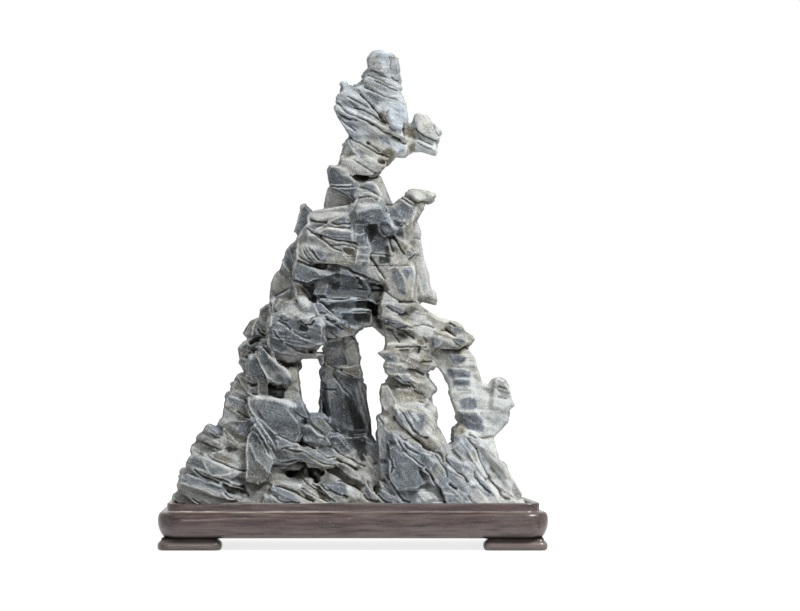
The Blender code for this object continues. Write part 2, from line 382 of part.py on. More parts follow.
def torso():
    """The leaning body of dark slabs, with a pale ridge running up to its right shoulder."""
    return [
        slab(-9, (-14.6, 105.8), (-13, 107.9), (-7, 108.2), (-0.4, 110), (-0.6, 107.6), (-5, 105.2),
            (-13.6, 104)),
        slab(-8.6, (-15.6, 101.6), (-14.7, 106), (-12, 105.2), (-6, 104), (-13, 100)),
        slab(-10, (-13.2, 104.8), (-6, 106.1), (-1.2, 106.2), (-0.8, 104), (-8, 103.6), (-12.7, 103.8)),
        slab(-10.7, (-8.8, 103.4), (-0.3, 104), (-0.2, 101.8), (-4, 101.2), (-9.6, 102.4)),
        slab(-12, (-12.6, 101.2), (-8.5, 102.7), (-0.3, 101.3), (0.9, 98.5), (1, 97), (-3, 97.6),
            (-12, 100.2)),
        slab(-11.2, (-9.4, 99.2), (-3, 97.9), (1.2, 97.1), (1.6, 95.3), (-4, 96), (-8, 96.8)),
        slab(-11, (-15.3, 101), (-11, 99.9), (-7, 96.9), (-2, 94.2), (-2.4, 92.6), (-8, 94.2),
            (-15.4, 97.2)),
        slab(-12, (-14.6, 96.6), (-10, 95.8), (-8.2, 94.6), (-8.4, 91.6), (-11, 91)),
        slab(-11.6, (-16.7, 97.6), (-15.2, 97.4), (-9.8, 91.2), (-12, 90.8)),
        slab(-11, (-18.6, 95.6), (-16.8, 97.4), (-12, 91.5), (-12.6, 90.4), (-18.8, 92.3)),
        slab(-10.4, (-9, 95.6), (-5, 95), (-1.5, 94), (2, 92.4), (1.5, 90), (-5, 90.1), (-12.4, 90.5)),
        slab(-11.6, (-0.4, 94.4), (0.2, 96.4), (4.6, 96.4), (5.4, 93.5), (4.4, 90.8), (2.5, 89.5),
            (0.2, 90)),
        slab(-12, (0.2, 100.7), (4.2, 100.5), (4.5, 96.8), (1.5, 96.1), (0.6, 98)),
        slab(-11.4, (0.1, 104), (3, 104), (4.5, 100.6), (0.2, 100.4)),
        slab(-13, (0.1, 105), (0.5, 107.6), (2.5, 108.8), (9.4, 109.4), (11.2, 106), (12.3, 103.5),
            (8, 103), (3, 103.2)),
        slab(-12, (8, 103.4), (12.4, 103.8), (14.1, 101.5), (13.6, 99.7), (11, 99.2), (9, 100.8)),
        slab(-10, (-1.6, 109.4), (0.6, 110.2), (2, 113.4), (6, 113.5), (9, 111.4), (10.7, 108.2),
            (7, 107.8), (0, 107)),
        slab(-8.4, (4.1, 104.4), (8.4, 104), (8.4, 98.6), (4.3, 97)),
        slab(-9, (5.6, 98.8), (9, 99.8), (11.9, 98.6), (12.9, 93.3), (10, 92.2), (6, 93.6), (5, 96)),
        slab(-7.6, (5.9, 93.6), (12.8, 94), (12, 90), (10.9, 85.6), (9.6, 88)),
        slab(-9.4, (2, 91.2), (5.4, 93), (7.5, 90), (10.2, 85.8), (5, 86.4), (-1.8, 90)),
        slab(-9, (13.4, 99.9), (15.5, 98.4), (19, 96.6), (20.7, 93.9), (19, 92.2), (16, 93.6), (13.6, 97)),
        slab(-5.6, (11.6, 98.6), (14.4, 99.6), (17, 94.6), (16.4, 90), (11.6, 90)),
        slab(-7, (11.2, 90.4), (13, 92.8), (19.6, 92.2), (20, 89.8), (11.4, 89.4)),
        slab(-9, (11, 88.6), (12.4, 90.2), (19.7, 90.2), (20.1, 86), (19.8, 79.3), (15, 79), (10.4, 83.4)),
        slab(-10, (13.4, 88), (16, 89.8), (18.8, 90), (18.4, 84), (16.7, 80.2), (14, 82)),
        slab(-3, (-17, 110.3), (-15.6, 110.8), (-13, 108), (-13.8, 104), (-16.8, 99), (-19.3, 101.1),
            (-18.5, 104)),
        slab(-6.4, (-18.6, 98.8), (-16.6, 102), (-14.6, 102), (-14.6, 96), (-18.6, 94)),
    ]


def hammer():
    """The hammer-shaped spur at the torso's right, and the pale flank that runs down behind it."""
    return [
        slab(-4, (12.6, 110.4), (16.8, 114.1), (20.2, 110.2), (20, 104.4), (16, 100.6), (12.6, 101),
            (11, 106), (11, 109)),
        slab(-4.6, (16.6, 113.8), (18.2, 115), (20, 114.7), (22.7, 113.9), (22.6, 110.8), (20.2, 110.2)),
        slab(-3.4, (21.4, 114.2), (26.5, 114), (27.1, 113), (25.2, 111.2), (22.5, 110.6), (20.6, 111)),
        slab(-2.4, (19, 110.6), (23.1, 110.9), (22.1, 107.4), (20.4, 104.6), (18, 103.6)),
        slab(-5, (12.2, 105.2), (16.6, 105), (17, 102.8), (15.5, 101.2), (13.2, 102.3)),
        slab(-1, (15, 105.4), (20.5, 105), (21.7, 102), (21.9, 100.4), (20.9, 98.6), (15, 96)),
        slab(0, (14, 99.4), (21.4, 99.2), (22.3, 96.5), (22.8, 93), (22.3, 91.2), (15, 90)),
        slab(0, (14, 92.4), (22.4, 92), (23.9, 87.5), (25.2, 82.8), (25.2, 79.6), (14, 78.4)),
        slab(0.6, (23.6, 84.2), (26.7, 81.6), (27.2, 77.4), (24.5, 78), (20.4, 78.9), (20, 83)),
        slab(-2.6, (15.6, 102.6), (18, 104.8), (19, 98), (17, 96)),
    ]


def neck():
    """A boulder on a narrow stem, with a dark blade jutting to the left."""
    return [
        slab(-4, (-2.8, 131), (-2, 131.7), (2, 130), (1, 124.4), (-4.2, 125), (-3.8, 127.2)),
        slab(-6.6, (-1.8, 131.4), (4.5, 130), (9.2, 126.6), (8.2, 124.6), (-0.2, 125), (-0.2, 127.5)),
        slab(-8, (-4.3, 125.2), (8, 124.8), (9.4, 123), (10.9, 122.4), (9.1, 120.2), (5, 118.7),
            (0.5, 118.9), (-4.9, 122.3)),
        slab(-3, (6, 126), (9, 128.6), (13, 128), (13.3, 125), (11.6, 122.7), (6, 121)),
        slab(-10, (-8.6, 121.4), (-7.7, 122.7), (-5.4, 122.6), (-1, 120), (1.3, 117), (1.5, 115.6),
            (-8, 116.6)),
        slab(-10.6, (-7.9, 116.7), (1.5, 115.8), (1.3, 111.8), (0.3, 110.8), (-3, 113.7), (-8, 114.9)),
        slab(-3, (-8.2, 116), (-3, 117), (2, 114), (2, 108), (-9, 107.6), (-9.4, 112)),
        slab(-5, (-1, 120.6), (8.4, 120.6), (9, 117.2), (9.9, 113.6), (12.6, 110.3), (8, 107), (0, 109),
            (-1, 116)),
        slab(-7, (1, 116.6), (4, 117.4), (7.4, 117), (10.6, 110.8), (8, 111.6), (4, 114.9)),
        slab(-8.4, (0.9, 114.4), (4, 115.2), (8.4, 111.8), (6, 112), (2, 112.6)),
    ]


def head():
    """Long fingers that dip to the right, under a smooth pale cheek and a square crown."""
    return [
        slab(-6, (-4.6, 149), (-3.5, 149.5), (-2, 148.9), (0.5, 146.9), (6.4, 141.6), (5, 141.4),
            (-3, 146)),
        slab(-7.6, (-5.8, 145.2), (-5, 145.9), (-2.7, 146.2), (5, 143), (9.6, 137.2), (3, 140.6),
            (-5.6, 144)),
        slab(-7, (-6.2, 143.5), (-5.6, 144), (-2, 142.9), (9.4, 137.2), (8.4, 136.2), (-4.2, 141.6)),
        slab(-7.6, (-6.8, 141.1), (-6, 141.8), (-1, 139.8), (5, 137.3), (10.4, 134.4), (8, 134.2),
            (-6.2, 139.9)),
        slab(-7, (-6.2, 139.8), (0, 138.7), (3, 137.2), (10.6, 133.3), (10.6, 132), (0, 131.2),
            (-2.2, 132.9), (-5.2, 137.4)),
        slab(-6, (-1.2, 131.8), (9, 132.6), (12.8, 128), (9.5, 125.8), (4, 129.2)),
        slab(-7, (0.4, 148), (3, 147.6), (9.4, 145.7), (11, 141), (8.6, 138.4), (6.4, 141.8)),
        slab(-8, (8.8, 145.6), (14, 143.6), (16.7, 142.4), (17.5, 139), (17.9, 136.8), (16, 132.8),
            (11.5, 134.2), (9.8, 138.5)),
        slab(-7, (9.6, 138), (11.7, 134.8), (16.3, 133), (17, 130.8), (13, 131.6), (9.8, 133.4)),
        slab(-6, (10.8, 133), (13, 132.3), (16.7, 129.9), (17.2, 128), (15, 126), (12.8, 125.7),
            (11.2, 129.5)),
        slab(-4, (12.9, 127), (17.2, 128.6), (18.3, 126.4), (16.9, 124.9), (13.4, 125.2)),
        slab(-5, (3.9, 152.6), (5, 153.4), (12.5, 150.4), (14.3, 149.6), (14.7, 146.6), (9, 148.1),
            (3.2, 151)),
        slab(-5.8, (2.7, 150.3), (3.4, 151.5), (9, 149), (14.7, 146.8), (15.6, 144.3), (9, 146.2),
            (3, 148.9)),
        slab(-2, (1, 148.8), (2.2, 149.8), (5, 149), (5, 147), (0.9, 147.3)),
        slab(-6.4, (8, 147), (15, 145.6), (16.6, 142.8), (15.5, 142.5), (8.8, 145.5)),
        slab(-6, (4.4, 153.4), (4.5, 157), (5.6, 158.6), (8.5, 160), (10.6, 159.2), (10.4, 151),
            (5.5, 152.8)),
        slab(-5, (9.6, 159.5), (12.5, 158.9), (14.6, 157.3), (15.2, 154), (15.2, 150.5), (14, 149.7),
            (9.6, 151.2)),
    ]


def arm():
    """The bird-like arm at the head's right."""
    return [
        slab(-3, (15, 136.6), (17.9, 136.8), (18.8, 135.2), (20.4, 135), (21, 131.6), (15, 130)),
        slab(-3, (15.6, 132), (21.8, 132.4), (22.6, 129.5), (21, 127), (18.2, 126.8), (15.6, 128)),
        slab(-5, (19.2, 137), (19.4, 138.8), (20.6, 139.9), (22.5, 139.8), (24, 138.8), (28.5, 131.4),
            (27.5, 129.6), (21, 132.2), (19.8, 134.6)),
        slab(-3, (25.4, 136.6), (26.2, 136.1), (28.9, 133.5), (28.5, 132.5), (26.3, 132)),
        slab(-4, (20.4, 132), (27.4, 130), (27.4, 128.3), (24, 128.9), (20.4, 130.4)),
        slab(-4.8, (19, 131), (27.4, 128.1), (27.3, 126.7), (20, 128.8)),
        slab(-4, (18.5, 129.6), (26.9, 126.6), (26.8, 125.5), (24, 126.3), (18.5, 127.9)),
    ]


def cores():
    """The stone behind the faces: each stretch's front and back Y, its layers' dip and its outline."""
    return [
        core(-12, 14, -25, (-57, 12), (-55.5, 18.5), (-52, 27), (-50, 33), (-46, 37.5), (-41, 41),
            (-30, 41), (-25, 12)),
        core(-5, 10, -32, (-41.5, 40), (-41, 47.5), (-38, 53.5), (-35, 55), (-33, 54), (-29, 46),
            (-27, 39)),
        core(-13.5, 14, -25, (-28, 12), (-28, 20.5), (-12, 20.5), (4, 19), (14, 12)),
        core(-7, 15, -25, (-28, 19), (-25, 30), (-16, 33), (-8, 35), (4, 36), (8, 32), (13, 24),
            (12, 18), (-12, 20)),
        core(-11.5, 13, -42, (9, 12), (8.6, 33), (10, 42), (13, 45), (25, 44), (26.5, 36), (31, 28),
            (33, 12)),
        core(-9.5, 11, -48, (28, 12), (28, 28), (33, 36), (38, 37), (44, 33), (47, 27), (51, 20),
            (53, 14), (53, 12)),
        core(-9, 6, -15, (-33, 47), (-19, 45), (-15.5, 43), (-16.5, 35), (-26, 32), (-31, 38)),
        core(-2, 6, -15, (-30, 54.5), (-19, 54), (-17.5, 50), (-17, 44), (-30, 44)),
        core(-7.5, 6, -45, (-33, 60), (-30, 64), (-17.5, 61), (-17.5, 53), (-28, 52)),
        core(-6, 4, 0, (-28, 63), (-20, 60.4), (-11.2, 60.4), (-9, 61.8), (-12, 62.3), (-24, 65)),
        core(-9, 8, -12, (-27.3, 74), (-27.3, 66), (-25, 62.5), (-14, 64.5), (-9.8, 65.5), (-9.6, 70),
            (-12, 74), (-18, 79.5), (-24, 79.5)),
        core(-1, 8, -20, (-35.8, 68.5), (-34.3, 71), (-30, 74), (-24, 77), (-24, 64), (-31, 66.4)),
        core(-1, 7, -20, (-37, 64), (-33, 66.5), (-26, 67), (-26, 54), (-34.4, 56.6)),
        core(-1.5, 10, -35, (-27, 79), (-26.6, 84.5), (-22, 93), (-19, 98), (-12, 99), (-12, 76),
            (-24, 75)),
        core(5, 14, -8, (-9, 68), (0.5, 67.5), (2, 58), (2.5, 53), (-10, 53)),
        core(6, 15, -5, (-10.8, 54), (2.5, 54), (3.4, 49), (3.6, 42), (5.4, 35), (-9, 36), (-11, 46)),
        core(1, 15, -25, (-15, 41), (-10, 42), (8, 32.5), (8, 24), (-15, 26)),
        core(-6, 6, -12, (9.6, 81), (20, 78.5), (26, 74), (27, 70), (25, 62), (11, 62.5), (9.8, 71)),
        core(-6.5, 6, -15, (10, 63.5), (25, 63), (26, 58), (23, 55.5), (16, 54), (10.2, 57)),
        core(-5.5, 6, -25, (11, 56), (23, 56.5), (26, 50), (25, 46.5), (26, 42), (13, 42), (10.4, 52)),
        core(-5, 4, -20, (23, 72.5), (31, 72.4), (35.3, 70.3), (38.3, 66.5), (36.8, 63.6), (34, 63),
            (23, 63)),
        core(-3.5, 4, -5, (26, 63.4), (37.2, 63.8), (40.3, 56.5), (41, 51), (31.4, 50), (30.2, 56.4)),
        core(-4, 4.5, -10, (31, 51.5), (41, 52.5), (45, 44), (49.8, 43.8), (48.2, 38.2), (44.8, 35.2),
            (40, 35.6), (34, 40.6), (31.6, 46)),
        core(-3, 3.5, -60, (44.2, 53), (48.4, 53.5), (51, 46.5), (50, 42), (43, 43)),
        core(-3.5, 4, 0, (39.5, 37), (45, 36.5), (45.6, 30), (39, 30)),
        core(-1, 11, -8, (-18.5, 91), (12, 90), (20, 80), (9.5, 71.2), (2, 71.2), (-9, 66.5), (-14, 72),
            (-19, 80)),
        core(-8, 9, -12, (-18.2, 90), (-18, 98), (-14.3, 106.5), (0, 109.3), (10, 108.5), (13.5, 101),
            (19.5, 92), (11, 84)),
        core(-6, 8, -70, (11, 91), (19.5, 92), (19.6, 79.6), (15, 79), (10.6, 84)),
        core(-2, 6, -40, (12.8, 109.8), (16.8, 113.6), (20, 110), (20, 104.5), (16, 98), (10, 103),
            (11.2, 108.6)),
        core(1, 8, -70, (13, 105), (20, 104.6), (21.5, 100), (22.6, 93), (24.8, 83), (24.5, 79.6),
            (13, 78.6)),
        core(-1.5, 7, -20, (-8.6, 108), (-8, 115.8), (2, 118), (9.8, 114), (12.5, 110.3), (8, 105),
            (-2, 105)),
        core(-4, 5, -15, (-1, 121), (8.4, 120.6), (9.4, 113.5), (0, 112)),
        core(-5.5, 6, -28, (-4, 125), (-3, 130.5), (4, 131), (12.6, 127.8), (13, 125), (11, 122.6),
            (8.5, 120.3), (1, 119.3), (-4.4, 122.6)),
        core(-4.5, 5.5, -28, (-5.6, 140), (-5, 144.5), (1, 147), (9, 146), (16, 142), (17.4, 137),
            (16, 131), (12, 127), (8, 127), (-1, 131.6)),
        core(-4, 5, -20, (2.9, 150.6), (4.2, 153.2), (14.2, 150.2), (16, 142), (9, 142), (1.5, 147)),
        core(-4.5, 4.5, -20, (4.7, 152), (4.8, 157), (6, 158.3), (8.5, 159.4), (12.5, 158.4),
            (14.3, 157), (14.9, 150), (10, 149)),
        core(-2, 3, -20, (14, 136.6), (17.6, 136.6), (20.4, 134.6), (21.5, 130), (21, 127.4), (18, 127),
            (14, 127.5)),
        core(-4, 3.5, -50, (19.7, 137.5), (20.8, 139.3), (22.4, 139.3), (23.6, 138.4), (27.9, 131.4),
            (27.2, 129.9), (21.2, 132)),
        core(-3, 2, -20, (18.5, 132.5), (27, 130), (27, 126.3), (18.5, 128)),
    ]


def stone_regions():
    """Each region's slabs, how thick they are, and how far their faces lean back per mm of rise."""
    return [
        (base_left(), 9.0, 0.16),
        (base_middle(), 10.0, 0.12),
        (base_right(), 9.0, 0.12),
        (right_foot_of_stone(), 9.0, 0.14),
        (left_leg(), 7.5, 0.05),
        (left_head(), 7.0, 0.06),
        (back_leg(), 8.0, 0.0),
        (middle_leg(), 7.0, 0.04),
        (right_shoulder(), 6.0, 0.05),
        (right_leg(), 6.0, 0.05),
        (waist(), 8.0, 0.0),
        (torso(), 8.0, 0.06),
        (hammer(), 7.0, 0.0),
        (neck(), 7.5, 0.0),
        (head(), 6.5, 0.06),
        (arm(), 5.5, 0.0),
    ]


def centre_of(outline):
    return sum(x for x, z in outline) / len(outline), sum(z for x, z in outline) / len(outline)


def ring(outline, share, depth, lean, jitter, chance):
    """The outline drawn in towards its centre to a share of its size, at a Y that leans with height."""
    middle_x, middle_z = centre_of(outline)
    points = []
    for x, z in outline:
        y = depth + lean * (z - middle_z) + chance.uniform(-jitter, jitter)
        points.append((middle_x + (x - middle_x) * share, y, middle_z + (z - middle_z) * share))
    return points


def slab_points(face, thickness, lean, outline, chance):
    """A slab's bevelled face, its full-size belt and its smaller back."""
    reach = max(math.dist(point, centre_of(outline)) for point in outline)
    belt = face + thickness * chance.uniform(*BELT_PLACE)
    points = ring(outline, 1 - min(MOST_BEVEL, FACE_BEVEL / reach), face, lean, FACE_JITTER, chance)
    points += ring(outline, 1.0, belt, lean, FACE_JITTER, chance)
    points += ring(outline, BACK_SHARE, face + thickness, lean, FACE_JITTER, chance)
    return points


def above(outline, normal, level):
    """The part of a convex outline whose distance along the normal is at least the level."""
    kept = []
    for start, end in zip(outline, outline[1:] + outline[:1]):
        low = start[0] * normal[0] + start[1] * normal[1] - level
        high = end[0] * normal[0] + end[1] * normal[1] - level
        if low >= 0:
            kept.append(start)
        if low * high < 0:
            share = low / (low - high)
            kept.append((start[0] + (end[0] - start[0]) * share, start[1] + (end[1] - start[1]) * share))
    return kept


def layers(outline, dip, chance):
    """A convex outline split into overlapping layers that dip by the angle in degrees."""
    normal = (-math.sin(math.radians(dip)), math.cos(math.radians(dip)))
    opposite = (-normal[0], -normal[1])
    levels = [x * normal[0] + z * normal[1] for x, z in outline]
    bottom = min(levels)
    found = []
    while bottom < max(levels) - THINNEST_LAYER / 2:
        top = bottom + chance.uniform(THINNEST_LAYER, THICKEST_LAYER)
        if top > max(levels) - THINNEST_LAYER / 2:
            top = max(levels)
        layer = above(above(list(outline), normal, bottom - LAYER_OVERLAP), opposite, -top - LAYER_OVERLAP)
        if len(layer) > 2:
            found.append(layer)
        bottom = top
    return found


def core_bodies(chance, material):
    bodies = []
    for front, back, dip, outline in cores():
        for layer in layers(outline, dip, chance):
            face = front + chance.uniform(-LAYER_STEP, LAYER_STEP)
            rear = back + chance.uniform(-BACK_STEP, BACK_STEP)
            points = ring(layer, CORE_FACE_SHARE, face, CORE_LEAN, FACE_JITTER, chance)
            points += ring(layer, 1.0, (face + rear) / 2, 0, FACE_JITTER, chance)
            points += ring(layer, chance.uniform(*CORE_BACK_SHARE), rear, -CORE_LEAN, FACE_JITTER, chance)
            bodies.append(add_hull("layer", points, material))
    return bodies


def slab_bodies(chance, material):
    bodies = []
    for slabs, thickness, lean in stone_regions():
        for face, outline in slabs:
            bodies.append(add_hull("slab", slab_points(face, thickness, lean, outline, chance), material))
    return bodies


def add_hull(name, points, material):
    """The convex body round the points, as an object in metres."""
    form = bmesh.new()
    corners = [form.verts.new((x * MM, y * MM, z * MM)) for x, y, z in points]
    made = bmesh.ops.convex_hull(form, input=corners, use_existing_faces=False)
    inside = set(made["geom_interior"] + made["geom_unused"])
    unused = [item for item in inside if isinstance(item, bmesh.types.BMVert)]
    bmesh.ops.delete(form, geom=unused, context="VERTS")
    bmesh.ops.recalc_face_normals(form, faces=form.faces)
    mesh = bpy.data.meshes.new(name)
    form.to_mesh(mesh)
    form.free()
    mesh.materials.append(material)
    body = bpy.data.objects.new(name, mesh)
    bpy.context.scene.collection.objects.link(body)
    return body


def evaluated_mesh(body):
    """The body's mesh with its modifiers applied."""
    graph = bpy.context.evaluated_depsgraph_get()
    return bpy.data.meshes.new_from_object(body.evaluated_get(graph), depsgraph=graph)


def fused(name, bodies, material):
    """One solid made of overlapping bodies."""
    others = bpy.data.collections.new(name + "_slabs")
    bpy.context.scene.collection.children.link(others)
    for body in bodies[1:]:
        others.objects.link(body)
    union = bodies[0].modifiers.new("union", "BOOLEAN")
    union.operation = "UNION"
    union.operand_type = "COLLECTION"
    union.collection = others
    union.solver = "EXACT"
    bpy.context.view_layer.update()
    whole = bpy.data.objects.new(name, evaluated_mesh(bodies[0]))
    for body in bodies:
        bpy.data.objects.remove(body, do_unlink=True)
    bpy.data.collections.remove(others)
    bpy.context.scene.collection.objects.link(whole)
    whole.data.materials.clear()
    whole.data.materials.append(material)
    return whole


def cutter(name, corners):
    """A convex body that is only cut with, so it doesn't render."""
    body = add_hull(name, corners, None)
    body.hide_render = True
    body.display_type = "WIRE"
    return body


def box(name, low, high):
    """A cutter with flat sides between two corners, in millimetres."""
    corners = [(x, y, z) for x in (low[0], high[0]) for y in (low[1], high[1]) for z in (low[2], high[2])]
    return cutter(name, corners)


def cut(body, tool):
    """Takes the tool's space out of the body, and the tool out of the scene."""
    difference = body.modifiers.new("cut", "BOOLEAN")
    difference.operation = "DIFFERENCE"
    difference.object = tool
    difference.solver = "EXACT"
    bpy.context.view_layer.update()
    mesh = evaluated_mesh(body)
    body.modifiers.clear()
    body.data = mesh
    bpy.data.objects.remove(tool, do_unlink=True)


def outer_shell_only(mesh):
    """Keeps the mesh's largest connected piece, and drops sealed pockets between the slabs."""
    form = bmesh.new()
    form.from_mesh(mesh)
    form.verts.ensure_lookup_table()
    unseen = set(form.verts)
    largest = set()
    while unseen:
        front = [unseen.pop()]
        piece = set(front)
        while front:
            for edge in front.pop().link_edges:
                for vertex in edge.verts:
                    if vertex in unseen:
                        unseen.discard(vertex)
                        piece.add(vertex)
                        front.append(vertex)
        if len(piece) > len(largest):
            largest = piece
    bmesh.ops.delete(form, geom=[vertex for vertex in form.verts if vertex not in largest], context="VERTS")
    form.to_mesh(mesh)
    form.free()


def thinned(body):
    """The body on an even net of faces, thinned to the number of triangles it may have."""
    remesh = body.modifiers.new("even", "REMESH")
    remesh.mode = "VOXEL"
    remesh.voxel_size = NET_SIZE * MM
    bpy.context.view_layer.update()
    net = evaluated_mesh(body)
    triangles = sum(len(face.vertices) - 2 for face in net.polygons)
    decimate = body.modifiers.new("thin", "DECIMATE")
    decimate.ratio = STONE_TRIANGLES / triangles
    bpy.context.view_layer.update()
    mesh = evaluated_mesh(body)
    body.modifiers.clear()
    body.data = mesh


def make_rock(material):
    """The stone, cut flat where it stands in its seat and trimmed to clear the seat's lip."""
    chance = random.Random(STONE_SEED)
    bodies = core_bodies(chance, material) + slab_bodies(chance, material)
    rock = fused("rock", bodies, material)
    outer_shell_only(rock.data)
    thinned(rock)
    cut(rock, box("below", (-FAR_X, -FAR_Y, 0), (FAR_X, FAR_Y, STONE_BOTTOM)))
    seat_x = RIM_HALF_LENGTH - LIP_WIDTH - GAP
    seat_y = RIM_HALF_DEPTH - LIP_WIDTH - GAP
    top = RIM_TOP + GAP
    cut(rock, box("front_lip", (-FAR_X, -FAR_Y, 0), (FAR_X, -seat_y, top)))
    cut(rock, box("back_lip", (-FAR_X, seat_y, 0), (FAR_X, FAR_Y, top)))
    cut(rock, box("left_lip", (-FAR_X, -FAR_Y, 0), (-seat_x, FAR_Y, top)))
    plan = [(FAR_X, FAR_Y), (FAR_X, -FAR_Y)]
    plan += [(seat_x - slide(seat_y, y), y) for y in (-FAR_Y, FAR_Y)]
    cut(rock, cutter("right_lip", [(x, y, z) for x, y in plan for z in (0, top)]))
    outer_shell_only(rock.data)
    return rock


def slide(half_y, y):
    """How far the board's right end is drawn in at a Y, so that it slants away towards the back."""
    return RIGHT_END_SLANT * ((y + half_y) / (2 * half_y) - SLANT_START)


def rounded(half_x, half_y, radius, side_steps):
    """The (x, y) points of a rounded rectangle, with its two long sides cut into steps."""
    points = []
    corners = [(half_x, half_y, 0), (-half_x, half_y, 90), (-half_x, -half_y, 180), (half_x, -half_y, 270)]
    for corner_x, corner_y, turn in corners:
        centre_x = corner_x - math.copysign(radius, corner_x)
        centre_y = corner_y - math.copysign(radius, corner_y)
        for step in range(CORNER_STEPS + 1):
            angle = math.radians(turn + 90 * step / CORNER_STEPS)
            points.append((centre_x + radius * math.cos(angle), centre_y + radius * math.sin(angle)))
        if corner_x * corner_y > 0:
            run = -2 * centre_x / side_steps
            points += [(centre_x + run * step, corner_y) for step in range(1, side_steps)]
    return points


def board_loop(form, half_x, half_y, radius, z, sway):
    """The board's outline at a height. Sway sets the middle of its long sides in from their ends."""
    verts = []
    for x, y in rounded(half_x, half_y, radius, SIDE_STEPS):
        pull = sway * math.cos(min(abs(x) / half_x, 1) * math.pi / 2) ** 2
        place_x = x - max(x, 0) / half_x * slide(half_y, y)
        verts.append(form.verts.new((place_x * MM, (y - math.copysign(pull, y)) * MM, z * MM)))
    return verts


def foot_loop(form, half_x, half_y, radius, z):
    return [form.verts.new((x * MM, y * MM, z * MM)) for x, y in rounded(half_x, half_y, radius, 1)]


def skin(form, rings):
    """Faces between each pair of neighbouring rings, and a cap on the first and the last."""
    for lower, upper in zip(rings, rings[1:]):
        for index in range(len(lower)):
            after = (index + 1) % len(lower)
            form.faces.new((lower[index], lower[after], upper[after], upper[index]))
    form.faces.new(list(reversed(rings[0])))
    form.faces.new(rings[-1])


def solid(name, form, material):
    bmesh.ops.recalc_face_normals(form, faces=form.faces)
    mesh = bpy.data.meshes.new(name)
    form.to_mesh(mesh)
    form.free()
    mesh.materials.append(material)
    mesh.shade_smooth()
    mesh.set_sharp_from_angle(angle=math.radians(30))
    body = bpy.data.objects.new(name, mesh)
    bpy.context.scene.collection.objects.link(body)
    return body


def make_stand(material):
    """A board with a bulging belly, a stepped-in rim and a shallow seat sunk into its top."""
    form = bmesh.new()
    rings = []
    for step in range(BELLY_STEPS + 1):
        share = step / BELLY_STEPS
        bulge = BELLY_BULGE * math.sin(math.pi * (BELLY_START + (1 - BELLY_START) * share * BELLY_END))
        z = BOARD_BOTTOM + (BELLY_TOP - BOARD_BOTTOM) * share
        half_x = RIM_HALF_LENGTH + bulge
        half_y = RIM_HALF_DEPTH + bulge
        rings.append(board_loop(form, half_x, half_y, CORNER_RADIUS + bulge, z, FRONT_SWAY))
    rim = [(0, RIM_BOTTOM), (0, RIM_TOP - RIM_CHAMFER), (RIM_CHAMFER, RIM_TOP)]
    for inset, z in rim + [(LIP_WIDTH, RIM_TOP), (LIP_WIDTH, SEAT_FLOOR)]:
        half_x = RIM_HALF_LENGTH - inset
        half_y = RIM_HALF_DEPTH - inset
        sway = FRONT_SWAY if inset < LIP_WIDTH else 0.0
        rings.append(board_loop(form, half_x, half_y, CORNER_RADIUS - inset, z, sway))
    skin(form, rings)
    return solid("stand", form, material)


def make_foot(name, left, right, centre_y, material):
    """A low pad with a rounded edge at its foot and a chamfer at its top."""
    form = bmesh.new()
    rings = []
    for inset, z in FOOT_PROFILE:
        half_x = (right - left) / 2 - inset
        rings.append(foot_loop(form, half_x, FOOT_DEPTH / 2 - inset, FOOT_RADIUS - inset, z))
    skin(form, rings)
    bmesh.ops.translate(form, verts=form.verts, vec=((left + right) / 2 * MM, centre_y * MM, 0))
    return solid(name, form, material)


def make_feet(material):
    """Two long pads under the front and two shorter ones set back out of sight behind them."""
    make_foot("foot_front_left", -FOOT_REACH, -FOOT_REACH + FRONT_FOOT, -FOOT_CENTRE_Y, material)
    make_foot("foot_front_right", FOOT_REACH - FRONT_FOOT, FOOT_REACH, -FOOT_CENTRE_Y, material)
    make_foot("foot_back_left", -FOOT_REACH, -FOOT_REACH + BACK_FOOT, FOOT_CENTRE_Y, material)
    right = FOOT_REACH - RIGHT_END_SLANT * (1 - SLANT_START)
    make_foot("foot_back_right", right - BACK_FOOT, right, FOOT_CENTRE_Y, material)


def finish(name, colour, roughness):
    """A Principled material of one colour."""
    material = bpy.data.materials.new(name)
    material.use_nodes = True
    shader = material.node_tree.nodes["Principled BSDF"]
    shader.inputs["Base Color"].default_value = (*colour, 1)
    shader.inputs["Roughness"].default_value = roughness
    shader.inputs["Metallic"].default_value = 0
    return material


def main():
    for item in list(bpy.data.objects):
        bpy.data.objects.remove(item, do_unlink=True)
    stone = finish("stone", (0.2, 0.215, 0.23), 0.8)
    hardwood = finish("hardwood", (0.05, 0.035, 0.034), 0.35)
    make_rock(stone)
    make_stand(hardwood)
    make_feet(hardwood)


main()
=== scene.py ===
"""The looks of a scholar's rock on its dark hardwood stand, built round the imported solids.

The stone is a fine skin grown over the rock's solid: its slabs are weathered round, and their strata,
cracks, worn ridges and pits are moved into the mesh. Lengths are in millimetres up to the meshes,
which are in metres. The front's features are placed as they are seen from the camera's place. They are
listed one by one, as no two of them are alike.
"""

import math
from functools import partial

import bmesh
import bpy
import numpy as np
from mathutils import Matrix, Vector


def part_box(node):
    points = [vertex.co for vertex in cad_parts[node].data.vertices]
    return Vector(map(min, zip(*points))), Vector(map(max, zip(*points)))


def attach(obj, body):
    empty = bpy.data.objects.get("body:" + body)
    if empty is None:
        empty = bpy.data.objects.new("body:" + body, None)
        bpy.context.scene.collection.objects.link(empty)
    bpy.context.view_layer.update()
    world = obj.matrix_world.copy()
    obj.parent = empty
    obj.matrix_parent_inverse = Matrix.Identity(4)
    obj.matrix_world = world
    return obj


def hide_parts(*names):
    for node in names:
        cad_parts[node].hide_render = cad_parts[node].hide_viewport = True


MM = 0.001
GAP = 0.3
FAR = 1e9

